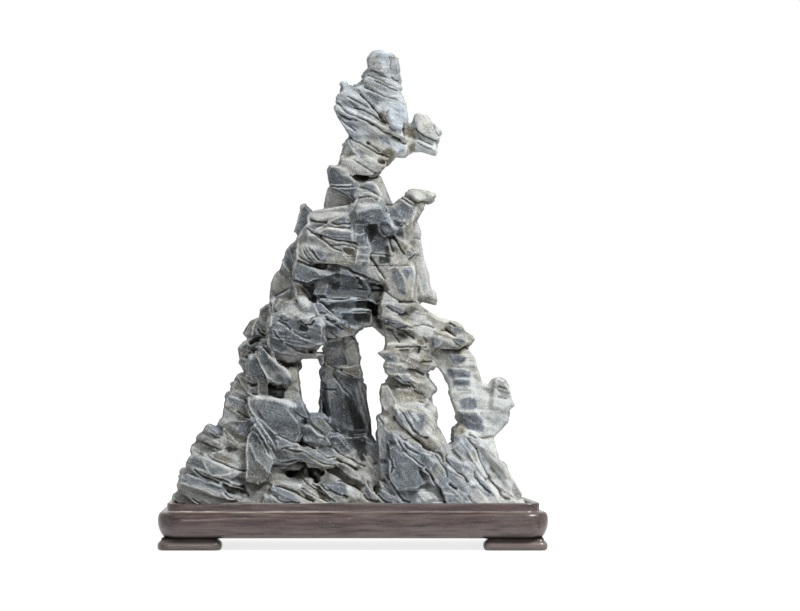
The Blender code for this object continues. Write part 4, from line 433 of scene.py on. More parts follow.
# The right end of the base: a fan of leaves with slate hearts and pale rims.
BASE_RIGHT = [
    cream(14, 45.5, 20, 46.5, 26, 46, 26.5, 41, 25.5, 36, 29.5, 33.3, 24, 34, 22.8, 36.6, 23.8, 39.5,
        23.2, 42.8, 18.5, 44.3, 15, 44),
    slate(14.2, 42.2, 15.5, 43.5, 18.5, 43.7, 22.7, 42.2, 23.2, 39.3, 21.9, 36.7, 23.6, 34.6, 21.5, 34.6,
        18.1, 38.4, 15.5, 40.1),
    cream(18.3, 43.3, 20.5, 42.8, 21.5, 40.8, 20.8, 40, 19, 41.5),
    cream(41.5, 36.5, 45.5, 35.5, 45.5, 31, 49.5, 26, 54.3, 16.8, 51, 16, 46.5, 23, 42.5, 30),
    crack(0.8, 0.35, 25.9, 30.7, 27.8, 29.7, 28.8, 28.4, 29, 27),
    crack(0.7, 0.3, 26.6, 29.2, 27.8, 27.5, 28.5, 26.2, 29.8, 24.4, 30.3, 22),
    crack(0.8, 0.3, 30.3, 29.4, 29.7, 28.6, 29.8, 27.3, 31, 26, 32.5, 24.8, 34, 23.2, 36, 22, 37, 20.8),
    slate(30.2, 29, 31.5, 28.2, 33.5, 27.2, 35, 26.3, 35, 24.3, 33.5, 24.2, 30, 27.6),
    ridge(0.4, 0.35, 30, 25.2, 34, 22.7, 36, 21.6),
    slate(30.3, 22.8, 32, 23, 33.5, 21.8, 35, 20, 37, 17.8, 37.8, 16.6, 35, 17.2, 33, 19, 31.3, 20.8),
    crack(1.1, 0.5, 31, 19.7, 32.5, 18.6, 33.2, 18.2),
    slate(28.3, 20, 29.5, 20.3, 30.5, 19, 31.3, 17.2, 29.8, 17.1, 28.5, 18),
    slate(29.3, 16.1, 33, 15.8, 34, 14.2, 30.7, 14),
    ridge(0.3, 0.35, 29.3, 16.7, 33, 16.2),
    ridge(0.3, 0.35, 30.5, 20.5, 32, 18.1, 34, 16.4, 35, 14.5),
    slate(36, 16.1, 37.2, 15.7, 38.3, 14.3, 36.3, 14, 35.5, 15),
    crack(0.6, 0.3, 37.3, 15.8, 38.3, 14.3, 39.3, 13.6),
    crack(0.8, 0.3, 39.2, 23.6, 39.2, 22.3, 39.8, 21, 41, 19.7, 44, 17.2),
    slate(39.6, 23.2, 41, 22.3, 42.5, 20.5, 44.5, 18.5, 46, 16.5, 45.5, 15.6, 43.5, 16.2, 41, 19,
        39.7, 21.3),
    slate(39.4, 20, 43.8, 16.2, 43, 15.8, 40.5, 17.6, 39, 19.2),
    painted_shadow(38.1, 19, 39.3, 19.3, 39.8, 18.5, 38.8, 18.2),
    grey(25.5, 24.5, 27.5, 26, 28.5, 25.5, 29.5, 23.5, 29, 21.5, 27, 21.5, 26, 22.5),
    slate(24.6, 14, 26, 15.1, 27.5, 14.5, 27.9, 13.9),
    ridge(0.3, 0.3, 24, 14.5, 26, 15.7, 28.2, 14.7),
    crack(0.8, 0.35, 43.3, 21.6, 47, 18, 48, 15.8, 49.3, 15, 50.5, 15.1),
    crack(0.7, 0.3, 39.7, 31.5, 41, 27.5, 42, 25.5, 43.3, 23.5, 44, 21.5),
    crack(0.6, 0.3, 36.8, 34.5, 39.6, 31.4),
    crack(1.3, 0.45, 37.3, 36, 38.2, 35.6, 39.6, 34.7),
    crack(0.6, 0.35, 40.5, 35.2, 42, 34.8, 44.5, 35),
    slate(40.3, 31.2, 41.3, 30.3, 42.8, 28.3, 43, 26, 42.4, 25.5, 41.2, 27.8, 40.5, 29.8),
    earth_and_shade(38.2, 31, 39.3, 30, 39.9, 27, 39, 27, 38.4, 29),
    earth_and_shade(32.4, 38.8, 34.5, 38.9, 36, 37.9, 36.1, 36.7, 34.5, 36, 32.5, 36.5),
    grey(35.5, 30.5, 37, 30, 38.2, 28.3, 37, 28, 35.8, 29),
    ridge(0.4, 0.3, 34.5, 33.5, 36, 32, 37, 30.5, 40, 25.5, 42, 22.7, 44, 20.7),
    ridge(0.4, 0.35, 36.3, 35.5, 38, 33.9, 39.5, 32.8, 42.5, 31.3, 44.3, 30),
    ridge(0.4, 0.4, 44, 20.7, 47, 19.1, 50, 17.2, 52.5, 15.1),
    ridge(0.3, 0.3, 33, 30.5, 38.5, 26, 40, 24, 42.5, 21),
    grey(52, 20.5, 53.5, 18, 54.3, 16, 53, 15.3, 51.5, 16.6, 51, 18.5),
    cream(44.5, 23, 46.5, 24, 47.3, 22.5, 45.5, 21.8),
    tan(47.5, 26.2, 50.5, 23, 51.5, 20.8, 50, 21, 48.5, 23.5, 47, 24.6),
]

# The smooth right leg with its bowl and thumb.
RIGHT_LEG = [
    slate(31, 61.6, 34, 62, 36.8, 60.5, 35, 58.2, 32.3, 58.6),
    slate(30, 57, 34, 57.6, 37.8, 56.2, 37.6, 54, 32, 53.8, 30.2, 55),
    slate(32, 53.2, 37.4, 53.2, 37.3, 51.4, 32, 51.2),
    slate(33.2, 43.2, 41.5, 43, 41.8, 39.5, 39.5, 36.8, 36.8, 37.3, 34, 40.5),
    ridge(0.25, 0.25, 34.3, 43.3, 40, 43.1, 46, 43.3, 50, 43.2),
    slate(34.3, 42.4, 39, 42, 41, 40, 42.3, 38, 42, 36.6, 38, 37.2, 36, 39.5),
    ridge(0.2, 0.7, 40.5, 42.3, 45.5, 37.3),
    slate(34.5, 47.5, 37.5, 48, 39.5, 47, 40, 44.5, 39, 43.9, 34.6, 43.9, 34.3, 45.5),
    slate(34.5, 49.4, 37.8, 49.4, 37.5, 48.8, 34.5, 48.9),
    slate(32.7, 53.4, 37.6, 53.2, 37.5, 51.5, 34.5, 51.3, 32.7, 52.3),
    slate(31.2, 56.4, 35, 56, 37.5, 55.2, 37.8, 54.2, 34, 54.1, 31.7, 55.4),
    slate(31.2, 61.2, 34, 61.2, 36.3, 60.4, 36, 59.1, 34.3, 58.4, 33, 59, 31.9, 60),
    ridge(0.3, 0.3, 30.5, 61, 31.5, 59.3, 32.5, 58.2, 34.5, 57.9),
    ridge(0.3, 0.35, 31.5, 57.2, 35, 57, 37.5, 56.4),
    ridge(0.25, 0.25, 32.3, 53.8, 37.5, 53.7),
    ridge(0.25, 0.3, 33.8, 50.6, 37.6, 50.4),
    cream(39.8, 50, 43, 49, 43.5, 46, 42, 44, 40.5, 45),
    grey(41, 51.8, 42.5, 51.2, 44.5, 51.6, 45.5, 49.8, 43.8, 49.3, 41.5, 50.2),
    tan(38.5, 60, 40.6, 56, 41.3, 53.2, 40, 52, 38.6, 55),
    grey(46.5, 53.5, 49, 53, 50.5, 50, 50.5, 48, 47.5, 48.5, 46, 51),
    crack(0.4, 0.3, 47, 51.5, 49.8, 50.6),
    crack(0.4, 0.3, 47, 49.8, 50.5, 49),
    crack(0.3, 0.3, 46.5, 48, 49.5, 47.6),
]

# The left leg's leaves, from the block up to the boulder, with the lumps beside them.
LEFT_LEG = [
    crack(0.9, 0.35, -37.4, 43.2, -33.8, 41.2),
    crack(2.2, 0.9, -26.3, 51.3, -24.5, 51, -22.8, 50.9),
    crack(1.8, 0.8, -24, 59.3, -21.5, 58.5, -18.5, 58.4),
    crack(0.9, 0.35, -29.2, 64.3, -26.5, 61.3, -24.8, 60.1),
    crack(1.6, 0.6, -33.2, 65.5, -32, 66.3, -30.4, 66.6),
    crack(0.8, 0.4, -34.6, 60.6, -33.4, 62.1),
    crack(0.8, 0.4, -30.9, 69.8, -30, 68.4, -28.4, 67.2),
    crack(0.6, 0.3, -29.6, 69.6, -27.7, 68.5),
    crack(0.8, 0.35, -22, 64.8, -18, 62.9, -15.5, 62.3),
    crack(1.2, 0.55, -14, 62.8, -12.6, 62.9),
    crack(0.7, 0.35, -18.8, 69, -17, 68, -15.5, 67.3, -14, 67),
    crack(0.6, 0.3, -25.8, 69.5, -25, 68, -24, 66.5, -23, 65.5),
    crack(1.0, 0.6, -34.3, 52.6, -33, 51.9, -31.6, 51.9),
    crack(0.7, 0.35, -32.5, 49, -31, 48.8),
    crack(0.6, 0.4, -35.3, 47, -34.9, 46.5),
    crack(0.7, 0.3, -31.4, 60.3, -30, 57, -28.3, 53.8),
    ridge(0.4, 0.35, -31.7, 62.8, -31, 60.2, -29.7, 57.5, -28.3, 55, -27.3, 53),
    slate(-30.8, 63.3, -29.5, 63.8, -28, 61.5, -26, 59, -24, 57, -24.5, 55.9, -27, 56.3, -29, 58.2,
        -30.5, 60.7),
    slate(-34, 59.5, -32, 60.5, -30.5, 58, -27.8, 53.2, -29.5, 53.1, -33, 54.6, -34.3, 56.5),
    slate(-26, 54, -23.5, 55.3, -22, 54, -19.3, 53.5, -20, 52.1, -23, 51.8, -26, 52.8),
    ridge(0.3, 0.8, -27, 60.3, -24.5, 58.8, -20.5, 55.2),
    painted_shadow(-24.8, 59.9, -21, 59.5, -17.6, 59.5, -17.2, 58.5, -18.5, 57.2, -21, 57.2),
    earth_and_shade(-27, 52.3, -25.5, 52, -23.5, 51.4, -22, 51.1, -23, 50.5, -25, 50.1, -27.1, 50.2),
    slate(-24, 69.4, -21, 69.4, -18.5, 67.7, -15.5, 66.4, -14.5, 65, -16, 63.9, -19.5, 64.6, -22.5, 65.9,
        -24, 67.5),
    slate(-27.2, 69.8, -25.5, 69, -24, 66.6, -22, 64.8, -21, 63.4, -24.5, 61.9, -26.5, 63, -27, 66),
    ridge(0.3, 0.5, -22.3, 64.9, -20, 63.3, -17.5, 62.4, -15.8, 61.9),
    ridge(0.3, 0.35, -27.6, 70.3, -27.5, 67, -26.8, 64.3, -25.6, 61.5, -22, 60.9, -18, 60.8),
    grey(-15.3, 61.6, -12.2, 61.8, -11.2, 61.2, -12, 60.5, -15.3, 60.4),
    grey(-30.3, 52.3, -28, 52.5, -28, 49.2, -30.2, 49.2),
    ridge(0.3, 0.3, -30.7, 53, -30.6, 50.5, -30.7, 48.8),
    ridge(0.3, 0.3, -27.7, 52.6, -27.6, 50.5, -27.8, 48.9),
    slate(-34.3, 51.1, -31.3, 51.4, -31, 50.4, -31.4, 49.2, -33, 49.4),
    slate(-34.8, 54.8, -33.3, 54.9, -32.6, 53.2, -34.8, 53.2),
    cream(-38.4, 55.1, -36, 55.2, -36.5, 54.1, -38.3, 53.9),
    slate(-41.2, 49, -40, 49.7, -39, 48, -36.5, 47, -35.5, 45.6, -37.5, 45.4, -40.5, 46.9),
    earth_and_shade(-42.2, 44, -39.5, 45, -36, 44.1, -34.4, 43.1, -34, 41.2, -38, 43.7),
    grey(-36, 69.4, -34.4, 69.8, -33.6, 68, -34, 67.4, -35.6, 67.9),
    earth_and_shade(-37.2, 63.4, -34.2, 63.3, -33.6, 62.4, -35.4, 61.6, -36.8, 61.8),
    ridge(0.3, 0.3, -37.4, 54.5, -35.8, 52, -34, 49.5, -33, 48.4),
    ridge(0.3, 0.3, -36.3, 55.2, -34.2, 54.9, -33.2, 54.6, -32.6, 53.5),
    ridge(0.4, 0.35, -29.9, 66.4, -27.8, 66.5, -27, 65, -27.1, 64.2),
    ridge(0.4, 0.4, -31.8, 64.2, -30, 64, -28.2, 64.4),
    ridge(0.3, 0.35, -34.6, 58.6, -34.3, 60.2, -32.8, 62.3),
    ridge(0.3, 0.6, -36.8, 64.6, -34.5, 65.8, -33, 66.7),
    ridge(0.3, 0.4, -40.5, 49.8, -38.8, 51.5, -37.8, 52.9),
    ridge(0.3, 0.35, -40, 48.2, -35.5, 46.5),
]

# The back leg seen through the arch, dark slate with painted shadow, with tan stone along its right edge.
BACK_LEG = [
    crack(1.1, 0.45, -9.1, 68.2, -9, 66.6, -7, 66.2, -5.7, 66.2),
    crack(0.6, 0.3, -7.6, 69, -5.3, 67),
    crack(0.7, 0.3, -9, 61, -8.9, 60, -9.4, 58),
    crack(1.2, 0.6, -6.1, 57.1, -5.2, 56.9, -4.2, 56.8),
    crack(1.0, 0.5, -3.5, 66.2, -2.3, 66.9, -0.6, 67.1, 0.6, 66.8),
    crack(0.6, 0.3, -8, 58.6, -6.5, 57.5, -4, 56, -0.5, 54.3),
    crack(0.5, 0.3, -6.8, 55.2, -2.5, 50, -0.5, 48),
    crack(0.5, 0.3, -11, 50.9, -8, 50.3, -5.8, 50.3),
    crack(0.7, 0.4, -10.7, 48, -10.1, 46, -9.2, 44),
    painted_shadow(-3, 49.5, -0.5, 48, 0.8, 45, 1.5, 43, 3, 40.5, 4, 37.5, 0, 37.2, -0.5, 40.5, -2, 44, -3, 47.5),
    slate(-8, 47, -5, 49, -3, 49, -2.2, 44.5, -1, 41, -1, 37.5, -4, 37.5, -6.5, 39.5, -8, 43),
    tan(1.2, 53.5, 2.3, 53.5, 4, 51, 4.3, 49, 3.8, 46.5, 4.3, 44, 5.2, 41.5, 6.2, 38, 6.3, 35, 5, 36.5,
        2.4, 42, 1.5, 46, 0.8, 50),
    painted_shadow(5, 39.5, 6.2, 38.5, 6.3, 35, 5.4, 35.8, 4.4, 38),
    ridge(0.3, 0.3, 2, 53, 2.2, 50.5, 2.8, 48, 3.1, 46, 2.5, 44, 4.6, 37.3),
    tan(-3, 63.3, 0, 65.8, 0.8, 65, 2, 60.5, 1.8, 58.4, -1.6, 58.6, -2.1, 61, -3.2, 62.4),
    ridge(0.3, 0.3, -3.5, 63, -2.3, 61, -1.8, 58),
    ridge(0.3, 0.3, -3, 64, 0, 66.3),
    ridge(0.3, 0.3, -8, 58, -2, 57.4, 1.7, 58.1),
    ridge(0.2, 0.3, 0, 54.4, 2.5, 54.1),
    slate(-7.5, 60, -4, 61.8, -2.4, 60.5, -2.1, 58.3, -5, 58.1, -7.3, 58.7),
    slate(-8.9, 66, -6, 65.9, -4.5, 64.5, -5.5, 63.4, -8.8, 63.9),
    slate(-8.5, 70.8, -6, 70.8, -5.4, 69.2, -7, 68.7, -8.5, 69.6),
    earth_and_shade(-4, 71.3, -1, 70.5, -0.3, 69.5, -1, 68.4, -4, 69),
    earth_and_shade(-3.5, 57, 1.5, 57.6, 2.5, 55.5, 1, 54.5, -1, 54.8, -3.8, 56.2),
    grey(-9, 56, -8, 55.8, -5.6, 53.5, -5.8, 51.4, -8.8, 51.4, -9.4, 53.5),
    grey(-9.6, 50, -7, 50, -6, 48.6, -7.5, 46, -8.8, 46),
]

# The middle leg: worn leaves round a pale waist.
MIDDLE_LEG = [
    slate(8.4, 62.3, 11, 62.4, 13.8, 61.3, 14, 58.8, 12, 58.6, 10.3, 60.2),
    slate(12.7, 55, 15.5, 54.8, 18.5, 53.4, 18.9, 52.6, 16, 52.8, 13.5, 54),
    cream(10.6, 65.4, 14.8, 65.5, 19.6, 65.8, 19.8, 64.9, 18.4, 64.4, 14, 64.6, 10.8, 64.6),
    crack(0.7, 0.3, 13.5, 64.1, 15, 64, 18, 64.1),
    crack(0.8, 0.35, 14.8, 63.1, 17.6, 63),
    crack(0.9, 0.4, 18.5, 63.7, 20, 64, 23.2, 64),
    crack(0.9, 0.4, 20.9, 62.4, 21.3, 63.5),
    crack(0.8, 0.35, 14, 69.6, 16, 69.2, 18, 68, 19.2, 66.9),
    painted_shadow(14.2, 69, 16, 68.8, 17.8, 67.9, 18.6, 67.1, 16.5, 66.7, 14.5, 67.5),
    crack(0.9, 0.4, 11, 71.7, 16, 71, 18.5, 70.5),
    crack(0.6, 0.3, 10.4, 69.8, 12.3, 69.2, 13.7, 67.5, 14.7, 65.8),
    ridge(0.3, 0.35, 11, 70.9, 14, 70.3, 17, 69.9, 18.6, 69.6),
    slate(7.9, 62.2, 11, 62.3, 13.3, 61.2, 13.9, 59.8, 12, 60, 10, 60.7),
    slate(9.4, 57.5, 11.5, 57.7, 13, 57, 12.8, 56.1, 11, 56.4),
    slate(14.4, 56.9, 16, 57.3, 17.5, 56.5, 16, 55.5, 14.5, 55.8),
    slate(15, 54.4, 17.5, 54.4, 18.9, 53.3, 18.4, 52.9, 16.5, 52.9, 15.3, 53.6),
    slate(14.8, 61.4, 16, 60.5, 17, 58.6, 16.1, 58.3, 15, 59.6),
    earth_and_shade(21.5, 61.4, 25, 61.2, 26, 60, 24, 58.4, 22, 58, 21.4, 59.5),
    crack(0.6, 0.35, 21.8, 59, 23.5, 59.4, 25.3, 59.4),
    ridge(0.3, 0.3, 24.5, 61.7, 26.3, 60.3, 27.6, 59),
    ridge(0.3, 0.3, 25.8, 59.5, 25, 58, 24.3, 57),
    crack(0.9, 0.45, 18.2, 56.8, 20.2, 56.2, 22.5, 55.2),
    crack(0.6, 0.3, 12.5, 54, 14, 53, 15.5, 51.7, 18, 51.3),
    crack(0.6, 0.35, 13.4, 51.6, 14.3, 51.3),
    crack(0.6, 0.3, 14, 54.6, 15.3, 53.4, 16.5, 52.5, 19, 52.4),
    crack(0.6, 0.3, 17.5, 52.3, 20, 50.8),
    crack(0.6, 0.3, 20, 49.9, 22, 49, 23.5, 48.2),
    crack(0.6, 0.3, 21.3, 46.6, 22.6, 46.3),
    earth_and_shade(14, 50.4, 19, 50, 22, 49, 24, 48, 23, 46.9, 18, 48, 14.5, 48.6),
    tan(22.5, 54.5, 24, 53.5, 26.4, 50.2, 25.5, 49.2, 23.5, 50, 22.5, 52),
    painted_shadow(24, 48.1, 25.2, 48, 25.2, 46.7, 24.4, 46.8),
    cream(14.4, 46, 21, 46, 25, 45.2, 26.6, 43.6, 26, 42.2, 19, 44.4, 15.6, 44.7),
    ridge(0.3, 0.35, 9.5, 59, 12, 58.8, 14.5, 58.3, 17, 58.8, 17.9, 61),
    ridge(0.3, 0.3, 10.3, 55.8, 12.5, 55.2, 15, 55.2, 18, 54.9),
    ridge(0.3, 0.3, 8.8, 47.5, 9.2, 45.5, 10.2, 43.7),
    ridge(0.3, 0.3, 10.8, 52, 12, 50, 14, 45, 15.5, 42.8),
]

# The right shoulder over its long crack.
SHOULDER = [
    cream(19, 72.5, 22, 74, 25, 72.5, 26, 70, 25.5, 67, 22, 66.4, 19.5, 68.5),
    slate(10.8, 79.4, 16.8, 76, 17.8, 74.6, 15.4, 74.4, 12.7, 76, 10.6, 77.4),
    slate(8.9, 73.8, 12.7, 72.6, 17.5, 70.5, 14, 70.2, 9.7, 71.6),
    crack(0.7, 0.3, 10.6, 77.4, 12.7, 75.9, 15.4, 74.3, 17.8, 74.4),
    crack(0.6, 0.3, 9.7, 71.5, 14, 70.1, 17.5, 70.3),
    crack(1.3, 0.45, 26.3, 62.9, 30, 62.7, 34, 62.6, 35, 63.2, 37.1, 64),
    crack(0.8, 0.35, 28.3, 69.4, 29.7, 69.3),
    crack(1.0, 0.45, 29.7, 69.9, 31, 69, 32.8, 68),
    crack(0.7, 0.35, 31, 71.9, 32.8, 70.7),
    crack(0.5, 0.3, 19.5, 71, 22, 71.3, 24, 71.2, 25.7, 70.4),
    crack(0.5, 0.3, 22.3, 67.3, 23.3, 66.5, 23.6, 65.5),
    crack(0.5, 0.3, 32, 66.3, 33, 65, 34.3, 64.2),
    earth_and_shade(26.6, 69.2, 28, 69, 31, 67.7, 31.5, 67, 28, 67.6, 26.8, 68.3),
    slate(25, 67.1, 25.8, 67.4, 27, 66.8, 28.1, 65.7, 28.1, 64.9, 27.3, 64.3, 25.5, 64.2, 24.8, 65.2),
    ridge(0.3, 0.35, 24.6, 67.3, 25.6, 67.9, 27.5, 67, 29.5, 65.7, 32.5, 64.3),
    slate(30.7, 71.1, 35.4, 69.5, 35.7, 68.6, 34, 68.2, 32.6, 68.8, 31.2, 70),
    slate(33, 67.4, 35.7, 67.4, 36.4, 66, 36.1, 65, 34.5, 64.7, 33, 65.8),
    ridge(0.3, 0.9, 28, 67.2, 31, 65.9, 33.4, 64.6),
    earth_and_shade(20.3, 67, 22, 67.2, 23.3, 66, 22.5, 64.7, 20.5, 65),
]

# The torso's left lump over the pale saddle and the boulder's top.
TORSO_LEFT = [
    deep(-26.5, 72, -24, 74.5, -19, 73, -15.5, 72.2, -12.2, 73.2, -10, 71.5, -8.9, 69.5, -9, 65.8,
        -12.5, 65, -18, 64.2, -24, 65.3, -26.8, 68),
    slate(-18.4, 91.3, -17, 91, -13.5, 89.3, -12.2, 88, -12.6, 86.6, -15, 85, -17.5, 85.2, -19.6, 86.1,
        -19.3, 87.5, -18.7, 89.5),
    ridge(0.3, 0.6, -18.2, 91.8, -15.5, 90.8, -12.3, 89, -10.7, 87.4),
    ridge(0.4, 0.35, -17.8, 97.5, -18.3, 92.5, -18.9, 90.5, -19.5, 88, -20.3, 86.2),
    ridge(0.4, 0.35, -20, 85.4, -18.8, 84.9, -17, 84, -15.3, 82.3, -14, 80.2, -13.5, 79),
    ridge(0.3, 0.3, -19.3, 84.5, -18.5, 82.5, -18.3, 80.5),
    crack(0.6, 0.35, -18.6, 79.2, -18.1, 78.4),
    earth_and_shade(-18.2, 83.9, -16.3, 82.4, -15.4, 80.7, -17.5, 80.7, -18.1, 82),
    painted_shadow(-16.8, 84.4, -15, 84.1, -13.7, 84, -14.9, 82.7),
    crack(0.7, 0.4, -19.7, 85.7, -17.5, 84.8, -15, 84.3, -13, 85.2, -11, 85.6),
    cream(-17.5, 80.2, -15.5, 80.2, -13.7, 78.5, -13.8, 77.1, -15.5, 76.7, -17.5, 77.6, -17.9, 79),
    cream(-20.5, 77.8, -18.6, 77.5, -17, 76, -16.6, 75, -18.5, 74.3, -21, 75.1, -22.5, 76),
    cream(-18.4, 73.6, -14, 73.9, -13, 73, -15, 72.7, -18, 73.2),
    earth_and_shade(-25.3, 78.5, -24, 79.4, -20, 79.9, -19.5, 78.9, -22, 78.4, -24.5, 77.7),
    tan(-25.9, 85.3, -24, 87.3, -21.2, 86, -21.1, 83.7, -24.7, 81.1, -26.2, 82.6),
    crack(0.6, 0.3, -25.3, 80.8, -23, 82, -21, 83.2),
    ridge(0.3, 0.5, -25.8, 79.2, -24.5, 80.3, -20.7, 82.5),
    slate(-22.2, 93, -20.6, 93.4, -19.9, 91, -20.1, 89, -21.5, 90.1, -22.4, 91.5),
    slate(-20.9, 96.4, -19.6, 96.9, -19.1, 94.2, -20.3, 94.6),
    ridge(0.3, 0.3, -21, 96.3, -19.4, 91.8),
    ridge(0.3, 0.3, -23, 92.3, -22.3, 90.2, -20.8, 88.6),
    ridge(0.3, 0.3, -24.5, 88.5, -23.8, 87, -22.5, 86.4),
    crack(1.0, 0.4, -14, 79.3, -12.2, 78.8),
    crack(1.0, 0.35, -18, 91.8, -15, 90.6, -13, 90.2),
    slate(-23.3, 74.9, -21.5, 74.4, -21, 73.1, -23.4, 73.4),
    slate(-25.7, 74.2, -24.3, 74.9, -23.9, 73, -24.1, 72.1, -25.4, 72.3),
    slate(-16, 75.9, -14, 75.9, -13.6, 75.1, -15.7, 74.6),
    crack(0.7, 0.3, -17.5, 72.5, -16.7, 71.7, -15.5, 71, -13.8, 71.1, -12.8, 72.2),
    crack(0.7, 0.35, -24, 72.5, -22, 71.5, -20.3, 70.2),
    crack(0.5, 0.3, -23.5, 73.2, -22.5, 72.7, -21.3, 72.6),
    crack(0.5, 0.3, -14, 72.6, -13, 73.4, -12, 74),
    ridge(0.4, 0.35, -12.8, 77.5, -12.2, 75.8, -11.3, 74.3),
    cream(-11.3, 73.9, -10, 73.9, -8.9, 71.1, -9.6, 70.7, -11, 71.7),
    grey(-14.3, 69.9, -10, 69.9, -9.6, 69, -12, 68.5, -14, 68.8),
    earth_and_shade(-30.8, 75.5, -29, 76.4, -27.9, 77.2, -27.9, 76, -29.5, 74.2, -30.4, 74.2),
    earth_and_shade(-33.8, 71.5, -32, 73, -31.5, 72.4, -32.6, 70, -33.1, 68.2, -34.4, 70),
    ridge(0.3, 0.3, -31.3, 72.7, -32.5, 70.5, -32.7, 68),
    ridge(0.3, 0.3, -27.4, 78, -26.5, 75, -26.3, 73, -26.8, 71),
    ridge(0.3, 0.3, -25.9, 80, -26.1, 77, -25.8, 74.8),
]

# The torso: slabs that dip gently right, a column of small squares and the spike at the left.
TORSO = [
    slate(-19, 101.3, -16.6, 109, -15.3, 110.3, -14.6, 109.8, -14.7, 107.2, -15, 104, -16, 101.9,
        -17.8, 99.9, -18.6, 100.5),
    cream(-13.5, 107.2, -8, 107.9, -1, 107.9, -4, 106.5, -8, 105.7, -13, 105.2, -13.9, 105.7),
    crack(0.7, 0.45, -13.8, 105, -12, 104.4, -8.8, 104.2),
    crack(0.6, 0.35, -7, 104.1, -4, 103.9, -1, 104.1),
    ridge(0.6, 0.4, -13, 101.2, -10.5, 102.5, -9, 103.8, -7, 105, -4, 106.2, -2, 107.2, -0.4, 108.4,
        0.2, 110, 1.1, 111.6),
    ridge(0.5, 0.4, -13.6, 107.4, -14.6, 106, -14.5, 104, -15.3, 102.5, -16.4, 101.4, -18, 99),
    slate(-12, 101, -9, 101.9, -3, 101.2, -1, 100.8, -1, 98.6, -2, 98.2, -6, 98.9, -9.5, 99.8),
    ridge(0.3, 0.35, -8, 102.3, -3, 101.8, -0.5, 101),
    slate(-13.8, 103.6, -10, 103.5, -11, 102.6, -13, 101.8, -14.2, 102.6),
    crack(0.6, 0.35, -8.2, 103.4, -5, 102.9, -1, 102.7),
    slate(-6, 105.5, -3.5, 105.9, -1.4, 105.4, -1.3, 104.4, -5, 104.5),
    crack(0.9, 0.35, -15, 102.2, -13, 100.9, -11, 100, -9, 99.3, -5, 98.3, -2, 97.9),
    crack(1.0, 0.45, -2, 97.9, 1, 97.2),
    crack(0.8, 0.3, -11, 99.8, -9.5, 98.3, -8, 97, -5.5, 95.7, -3.5, 94.5, -1.9, 93.3),
    crack(0.5, 0.3, -8, 97, -3, 96.9, 0, 96.5, 1.2, 95.9),
    slate(-8, 97.8, -5, 97.9, -2, 97.6, -0.6, 97.2, -2, 97, -6, 97.1),
    slate(-14, 99, -12, 98.5, -13.5, 97.6, -14.3, 98.1),
    ridge(0.3, 0.4, -14.4, 100.4, -12, 99.6, -10.3, 98.4, -8.3, 96.6),
    ridge(0.3, 0.3, -9, 99, -5, 97.9),
    grey(-13.2, 96.8, -9, 96.6, -6, 95.2, -3, 93.4, -1.6, 92.4, -6, 92.5, -9.5, 95.2),
    slate(-12.2, 94.6, -10.5, 94.9, -8.8, 94.3, -8.4, 92.5, -9, 91.5, -10.8, 91.8),
    earth_and_shade(-6, 92.2, -1, 92.2, -0.2, 91.1, -6, 91),
    crack(0.5, 0.25, -14.5, 95.8, -11.2, 92),
    crack(0.5, 0.25, -13.6, 95.4, -10.9, 92),
    crack(0.5, 0.3, -16, 94.8, -14.5, 92.8, -12.8, 91.1),
    crack(0.5, 0.3, -17.8, 93.6, -16, 92.2, -13.5, 91),
    ridge(0.3, 0.25, -16.5, 97, -15.3, 94.5, -13.3, 92.3, -12.3, 91.4),
    ridge(0.3, 0.25, -17, 96.5, -16.4, 94.7, -14.6, 92.2),
    ridge(0.3, 0.25, -15.5, 96.7, -14, 94.6, -11.8, 92.1),
    crack(1.4, 0.45, -12.5, 90.3, -8, 90.3, -4, 89.9, -2, 89.3, 0, 88.2, 3, 87, 5, 85.8),
    crack(1.4, 0.45, 5, 85.8, 7, 85.2, 9.3, 84.2, 10.3, 82.6),
    ridge(0.4, 0.35, 0, 105, -0.5, 103.5, -0.2, 101, -0.8, 99.5, -0.4, 98),
    ridge(0.3, 0.25, 0.3, 103.7, 2.5, 103.7, 4.5, 103.5),
    ridge(0.3, 0.25, 0.1, 100.4, 2.5, 100.5, 3.8, 100.9),
    ridge(0.3, 0.3, 4.2, 100.3, 4.5, 98, 5.1, 96.8),
    ridge(0.3, 0.3, 1.4, 96.3, 4.8, 96.3),
    ridge(0.4, 0.35, 5.2, 96.6, 5.4, 95, 4.7, 93.5, 4.9, 92, 4.4, 90.7),
    ridge(0.4, 0.35, 1.2, 96.3, 1.2, 95, 0.8, 93, 0.6, 91.3),
    ridge(0.3, 0.25, 1.5, 93.9, 4.6, 93.8),
    ridge(0.3, 0.25, 1.2, 91.8, 4.6, 91.7),
    slate(0.7, 103.2, 3.8, 103.4, 3.5, 101.8, 2.3, 100.9, 0.7, 101),
    slate(0.5, 99.7, 2.5, 99.9, 3.9, 98.5, 4.1, 97, 3, 96.7, 1.4, 97.7, 0.5, 98.8),
    slate(2.2, 95.8, 4.2, 95.6, 4, 94.2, 2.2, 94.2),
    slate(1.8, 93.5, 4.2, 93.4, 4, 92.1, 1.7, 92.1),
    slate(1.5, 91.4, 3.8, 91.3, 3.5, 90.1, 1.8, 90.2),
]

